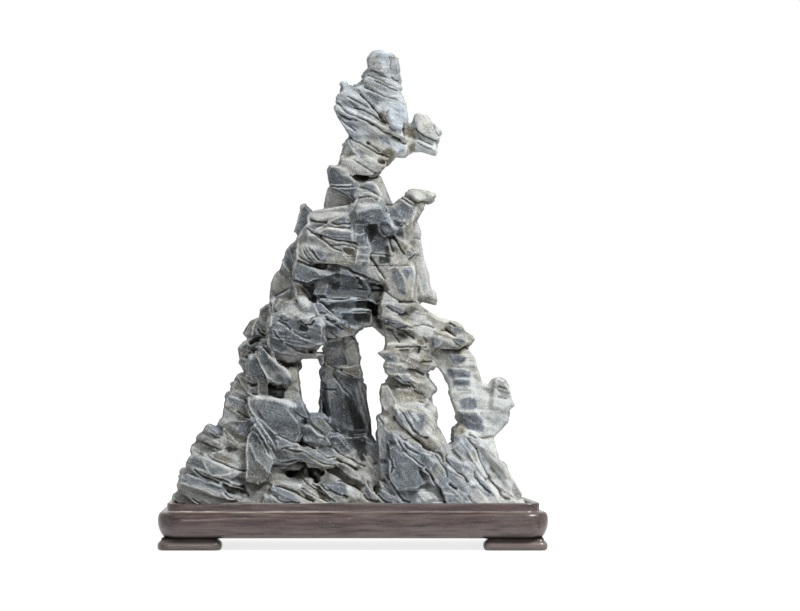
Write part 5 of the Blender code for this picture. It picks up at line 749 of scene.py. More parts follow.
# The dark head of stone at the torso's top right, and the pale horn beyond it.
HAMMER = [
    deep(0.6, 105.7, 1.6, 107, 5, 108.4, 8.4, 108.5, 10, 107.4, 11.3, 104.5, 13.8, 102.3, 13.8, 100.4,
        11.9, 99.2, 9.4, 100.4, 8.4, 102.6, 5.6, 104.2, 3.8, 103.3, 0.9, 104.2),
    slate(0.4, 105.5, 1.1, 107.3, 3, 107.9, 6, 107.9, 8, 108.2, 9, 108.9, 10, 108, 10.4, 106, 11.3, 103.9,
        9, 103.8, 7, 104.3, 4.5, 104.7, 2, 104.1, 0.6, 104.6),
    painted_shadow(4.6, 104.2, 7.3, 104, 7.6, 102, 6.9, 100, 6, 98, 5.2, 98, 4.7, 101),
    cream(1.5, 110.5, 4, 111, 8, 110.5, 8.6, 109.6, 4, 108.9, 1.8, 109.1),
    grey(2.4, 112, 7.8, 112, 9, 110.8, 4, 111.2),
    crack(0.7, 0.45, 2, 112.4, 4, 112.9, 6, 112.7, 7.6, 112),
    ridge(0.5, 0.4, 3, 113.8, 5, 113.7, 7.5, 112.8, 9.3, 111.2, 10.3, 109.5, 10.8, 108, 11, 106.5),
    ridge(0.5, 0.4, 11, 106.5, 11.5, 105, 12.3, 103.4, 13.2, 102.7, 14, 102.3),
    slate(8.6, 103, 10, 103.1, 12, 102.7, 13.4, 101.8, 13.8, 101, 13, 100.1, 10.5, 100, 9.4, 100.6,
        8.8, 101.6),
    ridge(0.3, 0.3, 8.2, 103.5, 8.4, 101.8, 9.1, 100.4, 10.3, 99.7),
    crack(0.8, 0.35, 10.5, 99.6, 12.5, 99.1, 13.6, 98.6),
    crack(0.8, 0.35, 11.6, 99, 12, 97.5, 13, 95),
    crack(1.0, 0.4, 13, 99.5, 14.3, 97.3, 15.3, 95.3, 16.3, 94.1),
    crack(0.9, 0.35, 5.5, 93, 7, 90.9, 8.5, 88.6, 10.4, 86),
    crack(0.5, 0.3, 5.8, 94.2, 9.8, 94, 12.5, 93.3),
    crack(0.35, 0.25, 4.6, 90.5, 8, 90.4, 18, 90.5),
    slate(6.5, 98.8, 9.8, 98.8, 9.8, 94.6, 6.3, 94.6),
    painted_shadow(10.2, 97, 11.5, 96.8, 12, 94, 11.8, 91, 10.3, 91, 8, 90.8, 8, 93.7, 10, 93.7),
    earth_and_shade(13.6, 99.4, 15.5, 98.4, 16.3, 97, 18, 96.6, 18.3, 96, 17, 94.7, 16, 95),
    slate(16.9, 95.2, 18.5, 95.2, 19.4, 93.6, 18.3, 93, 17.1, 93.6),
    crack(0.7, 0.35, 18.5, 96, 19.8, 94.8, 20.4, 93.6, 17.8, 92.3),
    slate(11.8, 107.8, 14, 109.4, 16, 111.2, 17.5, 110, 19.4, 109, 19.2, 107, 18.4, 105.3, 16, 105,
        12.3, 106),
    painted_shadow(12.3, 105.6, 15, 105, 17, 104.7, 16.5, 103, 15.2, 102.5, 13.5, 103.4),
    crack(0.6, 0.3, 15.5, 112.3, 18, 110.5, 19.8, 109.6),
    crack(0.6, 0.3, 16.3, 113.3, 18.5, 111.5, 20, 110.5),
    ridge(0.3, 0.25, 15.7, 111.7, 18, 110, 19.3, 109.2),
    ridge(0.3, 0.25, 16, 112.8, 19.5, 110.3),
    slate(16.6, 113.7, 17.3, 113.7, 19.5, 111.5, 20.2, 110.7, 19, 111.1, 17, 112.9),
    cream(17.6, 114.1, 20, 114.4, 24, 113.4, 26.5, 113.3, 25, 111.5, 21, 111.4, 19.7, 111.9),
    crack(0.5, 0.35, 20, 110.5, 23, 110.8, 25.5, 111.2),
    ridge(0.3, 0.35, 20.1, 109.3, 20, 107.8, 19, 104.5, 18.6, 102),
    ridge(0.3, 0.35, 16.3, 101.5, 16.2, 99.2, 16.6, 97.5),
    grey(16.8, 101.5, 18.2, 101, 18, 98.2, 17.1, 97.7),
    crack(0.3, 0.25, 19.5, 99.3, 21.5, 99),
]

# The waist under the torso, dark with painted shadow, and the pale slabs right of it.
WAIST = [
    cream(19.8, 104, 22, 104, 22.5, 98, 24, 90, 26.5, 83, 26.8, 79.5, 22, 80.5, 20.3, 88, 20.2, 96),
    crack(2.5, 1.2, 5.6, 79.3, 7.2, 79.2),
    crack(2.5, 0.9, 6.8, 78, 7.4, 76.4, 7.3, 74.8),
    crack(1.0, 0.5, 1.5, 79.6, 8.5, 80),
    painted_shadow(1, 78.8, 4, 79.6, 8.4, 79.8, 8.3, 74.8, 6, 74.6, 4.6, 76.8, 2.5, 77.8),
    painted_shadow(4, 79.9, 8.8, 79.9, 8, 79, 7.7, 77.5, 8.1, 76, 8, 74.6, 6.8, 74.6, 6.3, 76.5, 5.3, 78.5,
        4.3, 79.3),
    painted_shadow(4.9, 85.4, 9.3, 84, 9.8, 82, 9, 80.5, 5.4, 81.8, 5.5, 83.8),
    painted_shadow(-12.3, 90.2, -4.3, 89.8, -4.1, 88, -4.6, 86.6, -6, 86.5, -6.2, 88, -8.8, 89.4, -10, 89.2),
    painted_shadow(-7.4, 84.9, -4.3, 85.2, -4.3, 83, -5.5, 82.2, -7.3, 82.6),
    crack(0.8, 0.4, -12, 90, -10.3, 89.5, -8.8, 89.9),
    crack(0.6, 0.35, 5.6, 82.6, 7.5, 82.5, 9.5, 82.2),
    crack(0.6, 0.35, 5.8, 84.3, 7.5, 84.1, 9, 83.5),
    crack(0.6, 0.3, 0.3, 87.3, 3.3, 83.2),
    crack(0.6, 0.3, 1.1, 86.8, 4, 83.4),
    ridge(0.3, 0.4, -2, 89, 0, 87.7, 2.5, 86.5, 4, 85.2, 5, 83, 5.3, 81.3),
    slate(-4, 88, -2, 88.4, 0.5, 86.5, 2, 84.2, 1.5, 82.8, -1, 82.3, -4, 82.5),
    grey(-12.8, 84.5, -10.5, 85.4, -8.3, 84.6, -9.5, 83, -12.3, 81.5),
    slate(-4.5, 77.6, -2, 77.8, -0.5, 77, -1, 76, -4, 76.2),
    grey(-7, 82, -1, 82, 2, 82.5, 2, 81, -2, 80.4, -7, 80.6),
    crack(0.8, 0.35, -11, 80.3, -9, 80.2, -6, 79.6, -4, 79.5, -1.5, 79.9),
    crack(0.6, 0.3, 0.4, 80.5, 2, 80.5, 4, 80.2),
    ridge(0.3, 0.3, -8, 79, -4, 79, 1, 79.9, 4.5, 79.9),
    crack(0.6, 0.35, 1.8, 82.9, 4, 82.5),
    crack(0.7, 0.35, -0.5, 75.2, 2, 75.5, 4, 75.6, 5.7, 75),
    painted_shadow(-0.2, 75.1, 3, 75.4, 5.6, 74.9, 5.9, 73, 5, 71.7, 1.2, 72.2, 0.1, 73.5),
    painted_shadow(0.5, 79.2, 4.4, 78.9, 5.9, 76.6, 5.4, 76.2, 1, 76.2),
    ridge(0.3, 0.3, -0.5, 76, 2.5, 76.3, 5.5, 75.9, 6, 74.8),
    ridge(0.2, 0.3, 5.9, 74, 6.1, 72, 7, 70.8),
    crack(1.1, 0.55, -11.3, 79.3, -9.5, 78.3, -7.5, 76.3),
    crack(0.9, 0.35, -7.5, 76.3, -3.5, 72.4, -1.3, 70.8),
    crack(0.6, 0.35, -11, 75.2, -9.3, 75),
    crack(1.0, 0.55, -8.4, 73.1, -5.9, 72.3),
    crack(0.6, 0.3, -9, 74, -7.3, 72.2, -5, 71, -3.5, 69.8),
    ridge(0.3, 0.3, -10.5, 78.2, -6.5, 74.3, -4, 72.4),
    ridge(0.3, 0.3, -9, 74.7, -7, 73.9, -5, 72.3, -3.6, 70.5),
    painted_shadow(6.7, 74.2, 8.1, 74.2, 8.9, 72.5, 9.4, 71, 8.5, 69.7, 7.5, 70.9, 7.1, 72),
    slate(14.3, 89.4, 15.4, 87.5, 16.4, 85, 16.8, 82.5, 16.9, 80.5, 16, 80.3, 14.2, 82, 14.1, 87),
    slate(15.9, 89.7, 18.9, 89.9, 18.9, 88.5, 17.5, 86, 16.9, 86, 16.1, 88),
    slate(12.2, 88.6, 13.6, 88.4, 13.7, 86, 12.6, 85),
    ridge(0.3, 0.35, 11.5, 89.3, 13, 89.8, 14.4, 89.4, 15.6, 87.5, 16.5, 85),
    ridge(0.4, 0.4, 19.4, 90, 19.4, 86, 18.7, 80),
    crack(0.6, 0.3, 10.3, 82.3, 12.5, 80.3, 15, 79),
    crack(1.0, 0.45, 15, 78.8, 17, 78.5, 18.7, 78.6),
    crack(0.6, 0.3, 18.7, 78.6, 21, 78.5, 22, 77.3, 23.8, 75.6),
    cream(8.4, 79, 9.3, 80.5, 9.4, 81.8, 10.5, 81.3, 12, 79.4, 14, 78.8, 13, 77.2, 10, 77.9, 8.5, 76.7,
        8, 78),
    slate(10.1, 77.6, 12.5, 76.4, 16, 75.6, 17.2, 75.5, 16.9, 75, 13, 75.6, 11, 76.7),
    crack(0.6, 0.35, 14.7, 74.3, 16.3, 74.1, 17.4, 75),
    slate(8.8, 74.2, 10, 73.4, 13, 72.9, 16, 72, 15, 71.8, 11, 72.3, 9.5, 72.6),
    cream(18, 74.5, 21, 76.3, 23.5, 75.3, 24, 73.3, 20, 72.2, 17.8, 73),
]

# The dark wedge left of the stem, the streaked stem and the worn saddle over it.
BIRD = [
    cream(-9, 115.2, -5, 113.8, -1.8, 111.2, -1.8, 109, -9.2, 108.4),
    deep(-8.1, 121.9, -6.3, 122, -2, 119, 0.6, 116.7, 1.1, 114.6, 0, 111.6, -4.6, 114.4, -7.8, 115.3),
    deep(-7.9, 121.4, -6.5, 121.4, -4.5, 119.4, -2, 118.2, -0.2, 117, -1, 116.8, -7.4, 116.9, -8.3, 119),
    deep(-7.5, 115.4, -3, 115.1, 0, 115.2, 0.2, 113.5, 0.9, 112, 0, 111.2, -1.5, 112.5, -4, 114.1,
        -6, 115.1),
    deep(-7.5, 116.4, -1, 116.3, 0.3, 115.8, -7.5, 116),
    ridge(0.3, 0.25, -7.6, 116.7, -0.8, 116.6),
    ridge(0.3, 0.25, -7.3, 115.7, -3, 115.4, 0.2, 115.5),
    crack(0.5, 0.3, -7.6, 116.1, -4, 115.9, 0, 115.8),
    painted_shadow(0, 112.5, 1, 112, 0.3, 111, -0.4, 111.8),
    crack(0.6, 0.4, -7.4, 115, -6, 114.9, -4, 113.8, -1.5, 112.1, -0.5, 111),
    cream(-5, 120.8, -3, 120.1, -0.5, 119.1, 0.2, 118.4, -2, 118.7, -4, 119.6),
    cream(1.2, 117.5, 3, 117.3, 6, 117.5, 7, 116.8, 4, 116.9, 2, 116.4),
    cream(0.8, 115.6, 3, 115.4, 2.6, 114.9, 1.2, 115),
    tan(5.5, 117.8, 8, 119.2, 9.5, 117.8, 9.9, 114, 11.3, 111.8, 10, 110.7, 9, 112.7, 7.3, 115),
    slate(2.4, 115.8, 4.5, 115.4, 6.5, 114.6, 7, 115.5, 5.5, 116.3, 3, 116.3),
    crack(0.5, 0.3, 2.3, 115.8, 4.5, 115.2, 6.5, 114.3, 8, 112.9),
    ridge(0.3, 0.4, 4, 117.6, 6.2, 117, 7.8, 115.3, 9, 113.3),
    crack(0.6, 0.35, 10.6, 109.9, 12.2, 110, 13, 110.8),
    crack(2.5, 0.55, 0.8, 118.9, 2.5, 118.6, 4.3, 118.4),
    crack(1.2, 0.3, -0.8, 119.6, 0.6, 118.9, 3, 118.5, 6, 118.4, 8, 119.1, 9, 120),
    painted_shadow(0, 119, 1.5, 119.2, 4, 118.9, 5.5, 118.4, 4, 118, 2, 117.9, 0.8, 118.3),
    ridge(0.3, 0.3, -1.6, 112.2, -0.8, 111.2, -0.6, 109.8, -1.2, 108.7),
    earth_and_shade(-3.7, 126.4, -1.6, 126.4, -0.4, 125.1, -3.4, 125),
    ridge(0.3, 0.35, -3.5, 124.6, 4, 124, 7.5, 124),
    ridge(0.3, 0.35, -2, 131.5, -1.1, 129, 0.3, 127, 1.7, 125.5),
    crack(0.5, 0.3, 0, 124.8, 2, 123.2, 6.5, 120.3, 7.5, 120),
    crack(0.4, 0.25, 2.2, 125.4, 4, 125.3),
    slate(0.3, 127.6, 2, 127.7, 3.5, 126.8, 3.7, 125.7, 2.3, 125.7),
    earth_and_shade(8.4, 124.8, 9.2, 127.3, 11, 128.3, 12.4, 127.4, 13.1, 125.5, 12.6, 124, 11, 123, 9.7, 123.4),
    crack(1.2, 0.55, 8.5, 124.4, 10.6, 123.8),
    crack(0.6, 0.3, 9.3, 126.2, 11.5, 125.3),
]

# The head's long fingers that dip right, its pale face, the crown and the arm.
HEAD = [
    crack(0.7, 0.3, -5.8, 143.1, -3.9, 141.6, -2.4, 140.1, 1.9, 137.9),
    crack(1.2, 0.4, 1.9, 137.9, 4, 137.2, 6.3, 135.8),
    crack(0.8, 0.35, 6.3, 135.8, 8, 134.9, 10, 133.3, 12, 132.3),
    crack(1.2, 0.45, 12.5, 131.8, 16.8, 129.8),
    crack(0.7, 0.3, -5.9, 140, -4.1, 138.7, -2, 137.9, 1, 137),
    crack(0.7, 0.3, -5.2, 138.4, -1.5, 135.3, 0.5, 133.9),
    crack(0.7, 0.3, 0, 141.1, 3, 140.6, 5, 139.5, 8, 137.6, 9.5, 136.8),
    crack(0.9, 0.3, 2, 145.8, 4, 144, 6.3, 141.7, 8, 139.6, 9.5, 137.3, 10.2, 136.4),
    crack(0.9, 0.5, 6, 141.9, 6.6, 141.4),
    crack(0.6, 0.3, -1.8, 145, 5, 141.6),
    crack(0.6, 0.3, 10, 138.2, 10.5, 136.8, 11.3, 136),
    crack(0.5, 0.3, 11.7, 135, 12.3, 134.4, 13.5, 134),
    crack(0.8, 0.3, -1.5, 131.8, 0.8, 130.5, 3, 129.4, 7.5, 126.8, 9.5, 125.8),
    crack(0.7, 0.3, 4.5, 130, 8.5, 127.3),
    crack(0.8, 0.4, 4.4, 130.1, 4.9, 129.8),
    slate(-4, 143.9, 1, 143.4, 2, 142, 1, 140.9, -1.5, 141.4, -3.8, 142.6),
    slate(-3, 136.9, 0, 136.4, 1.7, 135.5, 1.7, 134, 0, 134.1, -2, 135.5),
    slate(-5, 139.2, -2, 138.3, 0, 137.6, -1, 137.1, -4, 138.3),
    slate(8.5, 131.9, 10.5, 132.2, 11.9, 130.3, 12.4, 128.6, 10, 129.8, 9, 129.4, 8.4, 130.8),
    slate(3, 146.5, 7.5, 146, 8.5, 143.5, 8.3, 142, 6.9, 142.2),
    frost(10.8, 143.4, 15, 142.9, 17, 140.5, 17.2, 138, 15.4, 136.5, 15.6, 133.7, 13, 134.2, 12, 135.6,
        11.4, 140.4),
    crack(0.35, 0.3, 11.3, 140.3, 10.6, 139.6, 10.9, 138.6),
    frost(12.4, 130.9, 14, 130.3, 16.5, 128.9, 16.8, 127.4, 14, 127.1, 13, 129),
    ridge(0.4, 0.35, 12.3, 133.4, 15, 132.3, 17.5, 130.8),
    ridge(0.3, 0.35, 2, 138.6, 5, 137.4, 8, 136, 11, 134.4),
    ridge(0.3, 0.3, -5.5, 141.8, -3, 140.9, 3, 138.4),
    crack(0.8, 0.4, 16.3, 136, 16.4, 134, 16.6, 132.5),
    earth_and_shade(16.6, 136, 18, 135.6, 19.9, 134.5, 20, 131.4, 17.5, 131.6, 16.8, 133),
    earth_and_shade(17.4, 129.4, 20, 129.8, 20, 127.2, 18, 126.6, 17.2, 126),
    crack(0.8, 0.35, 3.5, 148.1, 6.5, 146.9),
    crack(0.7, 0.3, 6.5, 146.9, 8, 146.3, 10, 145.3, 12, 144.5, 14, 143.9, 16.2, 142.8),
    crack(0.6, 0.3, 4.5, 152, 8, 150.7, 9.9, 149.8),
    crack(0.6, 0.3, 7, 150.2, 10.5, 148.6, 11.5, 147.9, 14, 147),
    crack(0.4, 0.3, 5.5, 153.3, 10.5, 151.2),
    crack(0.35, 0.25, 11.5, 157.8, 12, 156, 12, 154),
    crack(0.5, 0.35, 12.3, 151.2, 13, 150.3, 14.2, 150),
    grey(4.8, 157.8, 7, 158, 8.8, 156, 8.4, 153.2, 6, 153.3, 4.8, 154.6),
    earth_and_shade(11.6, 157.4, 13, 158.3, 13.9, 157.3, 12.8, 156.4),
    pit(0.3, 7.3, 157.6),
    pit(0.3, 6.4, 155.4),
    crack(0.7, 0.35, 19.9, 134.5, 20.5, 133.3, 22.5, 132, 27, 130.2),
    crack(0.6, 0.3, 26.1, 135.8, 26.8, 134, 27.8, 132.4),
    grey(26.4, 135.4, 28.4, 133.8, 28.5, 133, 27.9, 132.7),
    crack(0.5, 0.3, 21, 131.5, 23, 130.3, 25.5, 129.5),
    crack(0.5, 0.3, 20.5, 130.2, 22.5, 128.8, 25, 128),
    crack(0.4, 0.3, 21.5, 139.8, 23.8, 139.2),
    ridge(0.3, 0.3, 20.5, 131.4, 22.5, 130.2, 25.3, 129.1, 27.3, 129),
]
FRONT_MARKS = [
    *BASE_LEFT, *PITTED_FACE, *DARK_BLOCK, *BASE_MIDDLE, *BASE_RIGHT, *RIGHT_LEG, *LEFT_LEG, *BACK_LEG,
    *MIDDLE_LEG, *SHOULDER, *TORSO_LEFT, *TORSO, *HAMMER, *WAIST, *BIRD, *HEAD,
]
# Which kind of mark is laid first. Among facets, a later one covers an earlier one.
MARK_ORDER = ("facet", "ridge", "crack")


def noise(points, size, seed):
    """Smooth noise from -1 to 1 at each point, with features of about the given size."""
    draw = np.random.default_rng(seed)
    order = draw.permutation(256)
    values = draw.uniform(-1, 1, 256)
    place = points / size + draw.uniform(0, 64, 3)
    cell = np.floor(place).astype(np.int64)
    part = place - cell
    part = part * part * (3 - 2 * part)
    total = np.zeros(len(points))
    for corner in range(8):
        step = np.array([corner & 1, corner >> 1 & 1, corner >> 2 & 1])
        at = cell + step
        index = order[(order[(order[at[:, 0] & 255] + at[:, 1]) & 255] + at[:, 2]) & 255]
        weight = np.where(step, part, 1 - part).prod(axis=1)
        total += weight * values[index]
    return total


def blend(points, rows):
    """The sum of a few noises, by rows of how much, which size and which seed."""
    return sum(amount * noise(points, size, SEED + number) for amount, size, number in rows)


def smooth_step(low, high, value):
    """0 below low and 1 above high, with a smooth rise between."""
    share = np.clip((value - low) / (high - low), 0, 1)
    return share * share * (3 - 2 * share)


def hump(distance, width):
    """1 where the distance is nought, falling smoothly to almost nothing at twice the width."""
    return np.exp(-((distance / width) ** 2))


def as_seen(points):
    """Where points of the stone fall on the object's middle plane as the camera sees them."""
    scale = -CAMERA_Y / (points[:, 1] - CAMERA_Y)
    return CAMERA_X + (points[:, 0] - CAMERA_X) * scale, CAMERA_Z + (points[:, 2] - CAMERA_Z) * scale


class Skin:
    """A quad mesh held as arrays, with its edges for smoothing."""

    def __init__(self, mesh):
        self.points = np.empty(len(mesh.vertices) * 3)
        mesh.vertices.foreach_get("co", self.points)
        self.points = self.points.reshape(-1, 3) / MM
        ends = np.empty(len(mesh.edges) * 2, np.int64)
        mesh.edges.foreach_get("vertices", ends)
        self.ends = ends.reshape(-1, 2)
        corners = np.empty(len(mesh.loops), np.int64)
        mesh.loops.foreach_get("vertex_index", corners)
        self.quads = corners.reshape(-1, 4)
        self.count = np.bincount(self.ends.ravel(), minlength=len(self.points))

    def spread(self, values):
        """Each point's neighbours' mean."""
        one, two = self.ends.T
        size = len(self.points)
        total = np.bincount(one, values[two], size) + np.bincount(two, values[one], size)
        return total / self.count

    def blurred(self, values, rounds):
        for _ in range(rounds):
            values = (values + self.spread(values)) / 2
        return values

    def relaxed(self, points, rounds):
        return np.stack([self.blurred(points[:, axis], rounds) for axis in range(3)], axis=1)

    def rounded(self, points, rounds):
        """Softens edges without shrinking the body: each round pulls points in, then pushes them back."""
        for _ in range(rounds):
            for share in (0.5, -0.52):
                spread = np.stack([self.spread(points[:, axis]) for axis in range(3)], axis=1)
                points = points + share * (spread - points)
        return points

    def normals(self):
        one, two, three, four = (self.points[self.quads[:, corner]] for corner in range(4))
        faces = np.cross(three - one, four - two)
        total = np.zeros_like(self.points)
        for axis in range(3):
            for corner in range(4):
                total[:, axis] += np.bincount(self.quads[:, corner], faces[:, axis], len(self.points))
        return total / np.maximum(np.linalg.norm(total, axis=1, keepdims=True), 1e-12)


def strata_relief(points, normals):
    """How far each point stands out through its strata's steps and grooves, how deep in a groove it is, how
    light and warm its strata are, and how high in them it is."""
    seen_x, seen_z = as_seen(points)
    sway = blend(points, STRATA_SWAY)
    presence = smooth_step(-0.25, 0.35, blend(points, GROOVE_PRESENCE))
    distances = [np.hypot(seen_x - x, seen_z - z) / reach for x, z, reach, *_ in STRATA]
    closest = np.min(distances, axis=0)
    sums = np.zeros((5, len(points)))
    total = np.zeros(len(points))
    for number, (_, _, _, dip, layer, step, groove, tone) in enumerate(STRATA):
        weight = np.exp(REGION_BLEND * (closest - distances[number]))
        near = weight > LEAST_WEIGHT
        angle = math.radians(dip)
        across = np.array([-math.sin(angle), STRATA_LEAN, math.cos(angle)])
        across /= np.linalg.norm(across)
        height = points[near] @ across + sway[near]
        level = height / layer + number * LEVEL_SHIFT
        level += 0.3 * np.sin(level * 2.7)
        index = np.floor(level).astype(np.int64)
        part = level - index
        draw = np.random.default_rng(SEED + number)
        outs = draw.uniform(-1, 1, DRAWN_LAYERS)
        cuts = draw.uniform(0.1, 1, DRAWN_LAYERS)
        rise = smooth_step(0.0, 0.25, part)
        stand = outs[index % DRAWN_LAYERS] * rise + outs[(index - 1) % DRAWN_LAYERS] * (1 - rise)
        edge = np.minimum(part, 1 - part) * layer
        nearest = np.where(part < 0.5, index, index + 1)
        side = 1 - np.abs(normals[near] @ across) ** 3
        cut = side * groove * cuts[nearest % DRAWN_LAYERS] * hump(edge, GROOVE_WIDTH) * presence[near]
        light = TONES[tone][0] + LAYER_TONE * stand * side
        warm = np.full(len(level), TONES[tone][1])
        sums[:, near] += weight[near] * np.array([side * step * stand - cut, cut, light, warm, height])
        total[near] += weight[near]
    return sums / total


def distance_to(path, seen_x, seen_z):
    """How far each seen place is from a line through the path's points."""
    best = np.full(len(seen_x), FAR)
    for (x0, z0), (x1, z1) in zip(path, path[1:]):
        run_x, run_z = x1 - x0, z1 - z0
        share = ((seen_x - x0) * run_x + (seen_z - z0) * run_z) / (run_x**2 + run_z**2)
        share = np.clip(share, 0, 1)
        best = np.minimum(best, np.hypot(seen_x - x0 - share * run_x, seen_z - z0 - share * run_z))
    return best


def inside(path, seen_x, seen_z):
    """How far each seen place is inside a closed outline: negative outside it."""
    within = np.zeros(len(seen_x), bool)
    closed = path + path[:1]
    for (x0, z0), (x1, z1) in zip(closed, closed[1:]):
        if z0 != z1:
            crossing = x0 + (seen_z - z0) / (z1 - z0) * (x1 - x0)
            within ^= ((z0 > seen_z) != (z1 > seen_z)) & (seen_x < crossing)
    away = distance_to(closed, seen_x, seen_z)
    return np.where(within, away, -away)


def in_sight(points, normals):
    """Which points the camera sees: those that face it with no other stone well in front."""
    seen_x, seen_z = as_seen(points)
    column = ((seen_x + SIGHT_MARGIN[0]) / SIGHT_CELL).astype(np.int64)
    row = ((seen_z + SIGHT_MARGIN[1]) / SIGHT_CELL).astype(np.int64)
    cell = row * CELLS_IN_ROW + column
    nearest = np.full(cell.max() + 1, FAR)
    np.minimum.at(nearest, cell, points[:, 1])
    return (points[:, 1] - nearest[cell] < SIGHT_DEPTH) & (normals[:, 1] < 0.3)


def in_reach(path, reach, seen_x, seen_z):
    """Which places are within reach of a path's box. The places go from left to right."""
    (left, bottom), (right, top) = np.min(path, axis=0), np.max(path, axis=0)
    first, last = np.searchsorted(seen_x, (left - reach, right + reach))
    off_middle = np.abs(seen_z[first:last] - (bottom + top) / 2)
    return first + np.flatnonzero(off_middle < (top - bottom) / 2 + reach)


def marked(points, normals, light, warm):
    """Lays the front's marks on the points in sight: their relief and tones, and which points are hidden."""
    sight = np.flatnonzero(in_sight(points, normals))
    sight = sight[np.argsort(as_seen(points[sight])[0])]
    seen_x, seen_z = as_seen(points[sight])
    edge_x = seen_x + blend(points[sight], WANDER_X)
    edge_z = seen_z + blend(points[sight], WANDER_Z)
    wear = 0.5 + blend(points[sight], WEAR)
    relief = np.zeros(len(points))
    for kind, size, width, path in sorted(FRONT_MARKS, key=lambda mark: MARK_ORDER.index(mark[0])):
        near = in_reach(path, 1.0 + 2.5 * width, seen_x, seen_z)
        place = sight[near]
        if kind == "facet":
            depth = inside(path, edge_x[near], edge_z[near]) + 0.3 * (wear[near] - 0.5)
            share = smooth_step(-0.4, 0.6, depth) * (0.9 - 0.2 * wear[near])
            tone = TONES[size]
            relief[place] += share * (PALE_FACET if tone[0] > 0.5 else DARK_FACET)
        elif kind == "ridge":
            share = hump(distance_to(path, edge_x[near], edge_z[near]), 0.75 * width)
            relief[place] += size * share
            share *= 1 - 0.4 * wear[near]
            tone = TONES["cream"]
        else:
            away = distance_to(path, edge_x[near], edge_z[near])
            relief[place] -= size * hump(away, 0.85 * width)
            # A crack is carved, and painted dark along its line as shade.
            share = hump(away, 0.7 * width) * min(0.55 + 0.4 * size, 1)
            tone = PAINTED_CRACK_SHADE
        light[place] += (tone[0] - light[place]) * share
        warm[place] += (tone[1] - warm[place]) * share
    hidden = np.ones(len(points))
    hidden[sight] = 0.0
    return relief, hidden


def unmarked(points, light, hidden):
    """Gives the sides and the back their own swells, cracks with painted shade, veins and slate faces.
    Returns their relief.
    """
    flat = points * (0.6, 0.6, 1.3)
    relief = blend(flat, BACK_SWELL)
    for bends, breaks in zip(BACK_BENDS, BACK_BREAKS):
        bend = blend(flat, bends)
        broken = smooth_step(-0.1, 0.35, blend(points, breaks))
        cut = hump(bend, 0.035) * broken
        vein = hump(bend - 0.3, 0.04) * broken
        relief += 0.3 * vein - 0.8 * cut
        light += (TONES["cream"][0] - light) * 0.45 * vein * hidden
        # The cracks of the sides and back are painted dark as shade.
        light *= 1 - 0.7 * cut * hidden
    face = smooth_step(0.05, 0.3, blend(flat, BACK_FACES)) * hidden
    light += 0.16 * hidden
    light += (TONES["slate"][0] - light) * 0.7 * face
    return relief * hidden


def weathered(skin):
    """Moves the skin's points, and gives each point's shades: how light and how warm its stone is, with
    painted shade in its grooves, cracks and hollows and painted light on faces that look up, and how high in
    its layers it lies."""
    skin.points = skin.rounded(skin.points, 6)
    normals = skin.normals()
    swell = blend(skin.points, SWELL)
    layers, groove, light, warm, height = strata_relief(skin.points, normals)
    light += blend(skin.points, CLOUDS)
    # Faces that look up are made paler, as dust and as painted light from above.
    light += 0.16 * smooth_step(0.35, 0.85, normals[:, 2])
    warm += blend(skin.points, WARM_CLOUDS)
    # Painted shade darkens the grooves between the layers.
    light *= 1 - 0.8 * smooth_step(0.15, 0.6, groove)
    relief, hidden = marked(skin.points, normals, light, warm)
    hidden = smooth_step(0.3, 1.0, skin.blurred(hidden, 30))
    relief += unmarked(skin.points, light, hidden)
    relief += swell * FRONT_SHARE + layers * (FRONT_SHARE + BACK_SHARE * hidden)
    skin.points = skin.points + normals * relief[:, None]
    skin.points = skin.relaxed(skin.points, 1)
    normals = skin.normals()
    fine = skin.relaxed(skin.points, 4)
    wide = skin.relaxed(fine, 40)
    worn = ((skin.points - fine) * normals).sum(axis=1)
    hollow = ((wide - fine) * normals).sum(axis=1)
    light += (WORN_LIGHT - light) * 0.6 * smooth_step(0.012, 0.06, worn)
    # Hollows are darkened as painted shade, and made warmer with dirt.
    light *= 1 - 0.3 * smooth_step(0.1, 0.6, hollow)
    warm += 0.7 * smooth_step(0.05, 0.5, hollow)
    skin.points = skin.points + normals * blend(skin.points, GRAIN)[:, None]
    return {"light": light, "warm": warm, "height": height}


def trimmed(points):
    """Keeps the points clear of the seat's floor and lip, as the solid is."""
    low, high = (np.array(corner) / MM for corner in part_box("rock"))
    board_high = np.array(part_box("stand")[1]) / MM
    seat_half_depth = board_high[1] - LIP_INSET
    under = points[:, 2] < board_high[2] + GAP
    points[under, 1] = np.clip(points[under, 1], -seat_half_depth, seat_half_depth)
    return np.clip(points, low, high)


def place_in_scene(name, mesh):
    piece = bpy.data.objects.new(name, mesh)
    bpy.context.scene.collection.objects.link(piece)
    return piece


def add_shades(mesh, shades):
    """Writes each point's shades to the mesh, for its material to read."""
    for shade, values in shades.items():
        layer = mesh.attributes.new(shade, "FLOAT", "POINT")
        layer.data.foreach_set("value", values.astype(np.float32))


def dress(piece, node):
    """Hides the solid that a piece stands in for, and hangs the piece on the one body."""
    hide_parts(node)
    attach(piece, "root")


def make_skin(source):
    """A fine even net over the solid's mesh and the leaves added to it."""
    form = bmesh.new()
    form.from_mesh(source.data)
    for front, back, outline in ADDED_LEAVES:
        verts = [form.verts.new((x * MM, y * MM, z * MM)) for y in (front, back) for x, z in outline]
        bmesh.ops.convex_hull(form, input=verts)
    mesh = bpy.data.meshes.new("net")
    form.to_mesh(mesh)
    form.free()
    body = place_in_scene("net", mesh)
    remesh = body.modifiers.new("net", "REMESH")
    remesh.mode = "VOXEL"
    remesh.voxel_size = NET_SIZE * MM
    bpy.context.view_layer.update()
    graph = bpy.context.evaluated_depsgraph_get()
    mesh = bpy.data.meshes.new_from_object(body.evaluated_get(graph), depsgraph=graph)
    bpy.data.objects.remove(body, do_unlink=True)
    return mesh


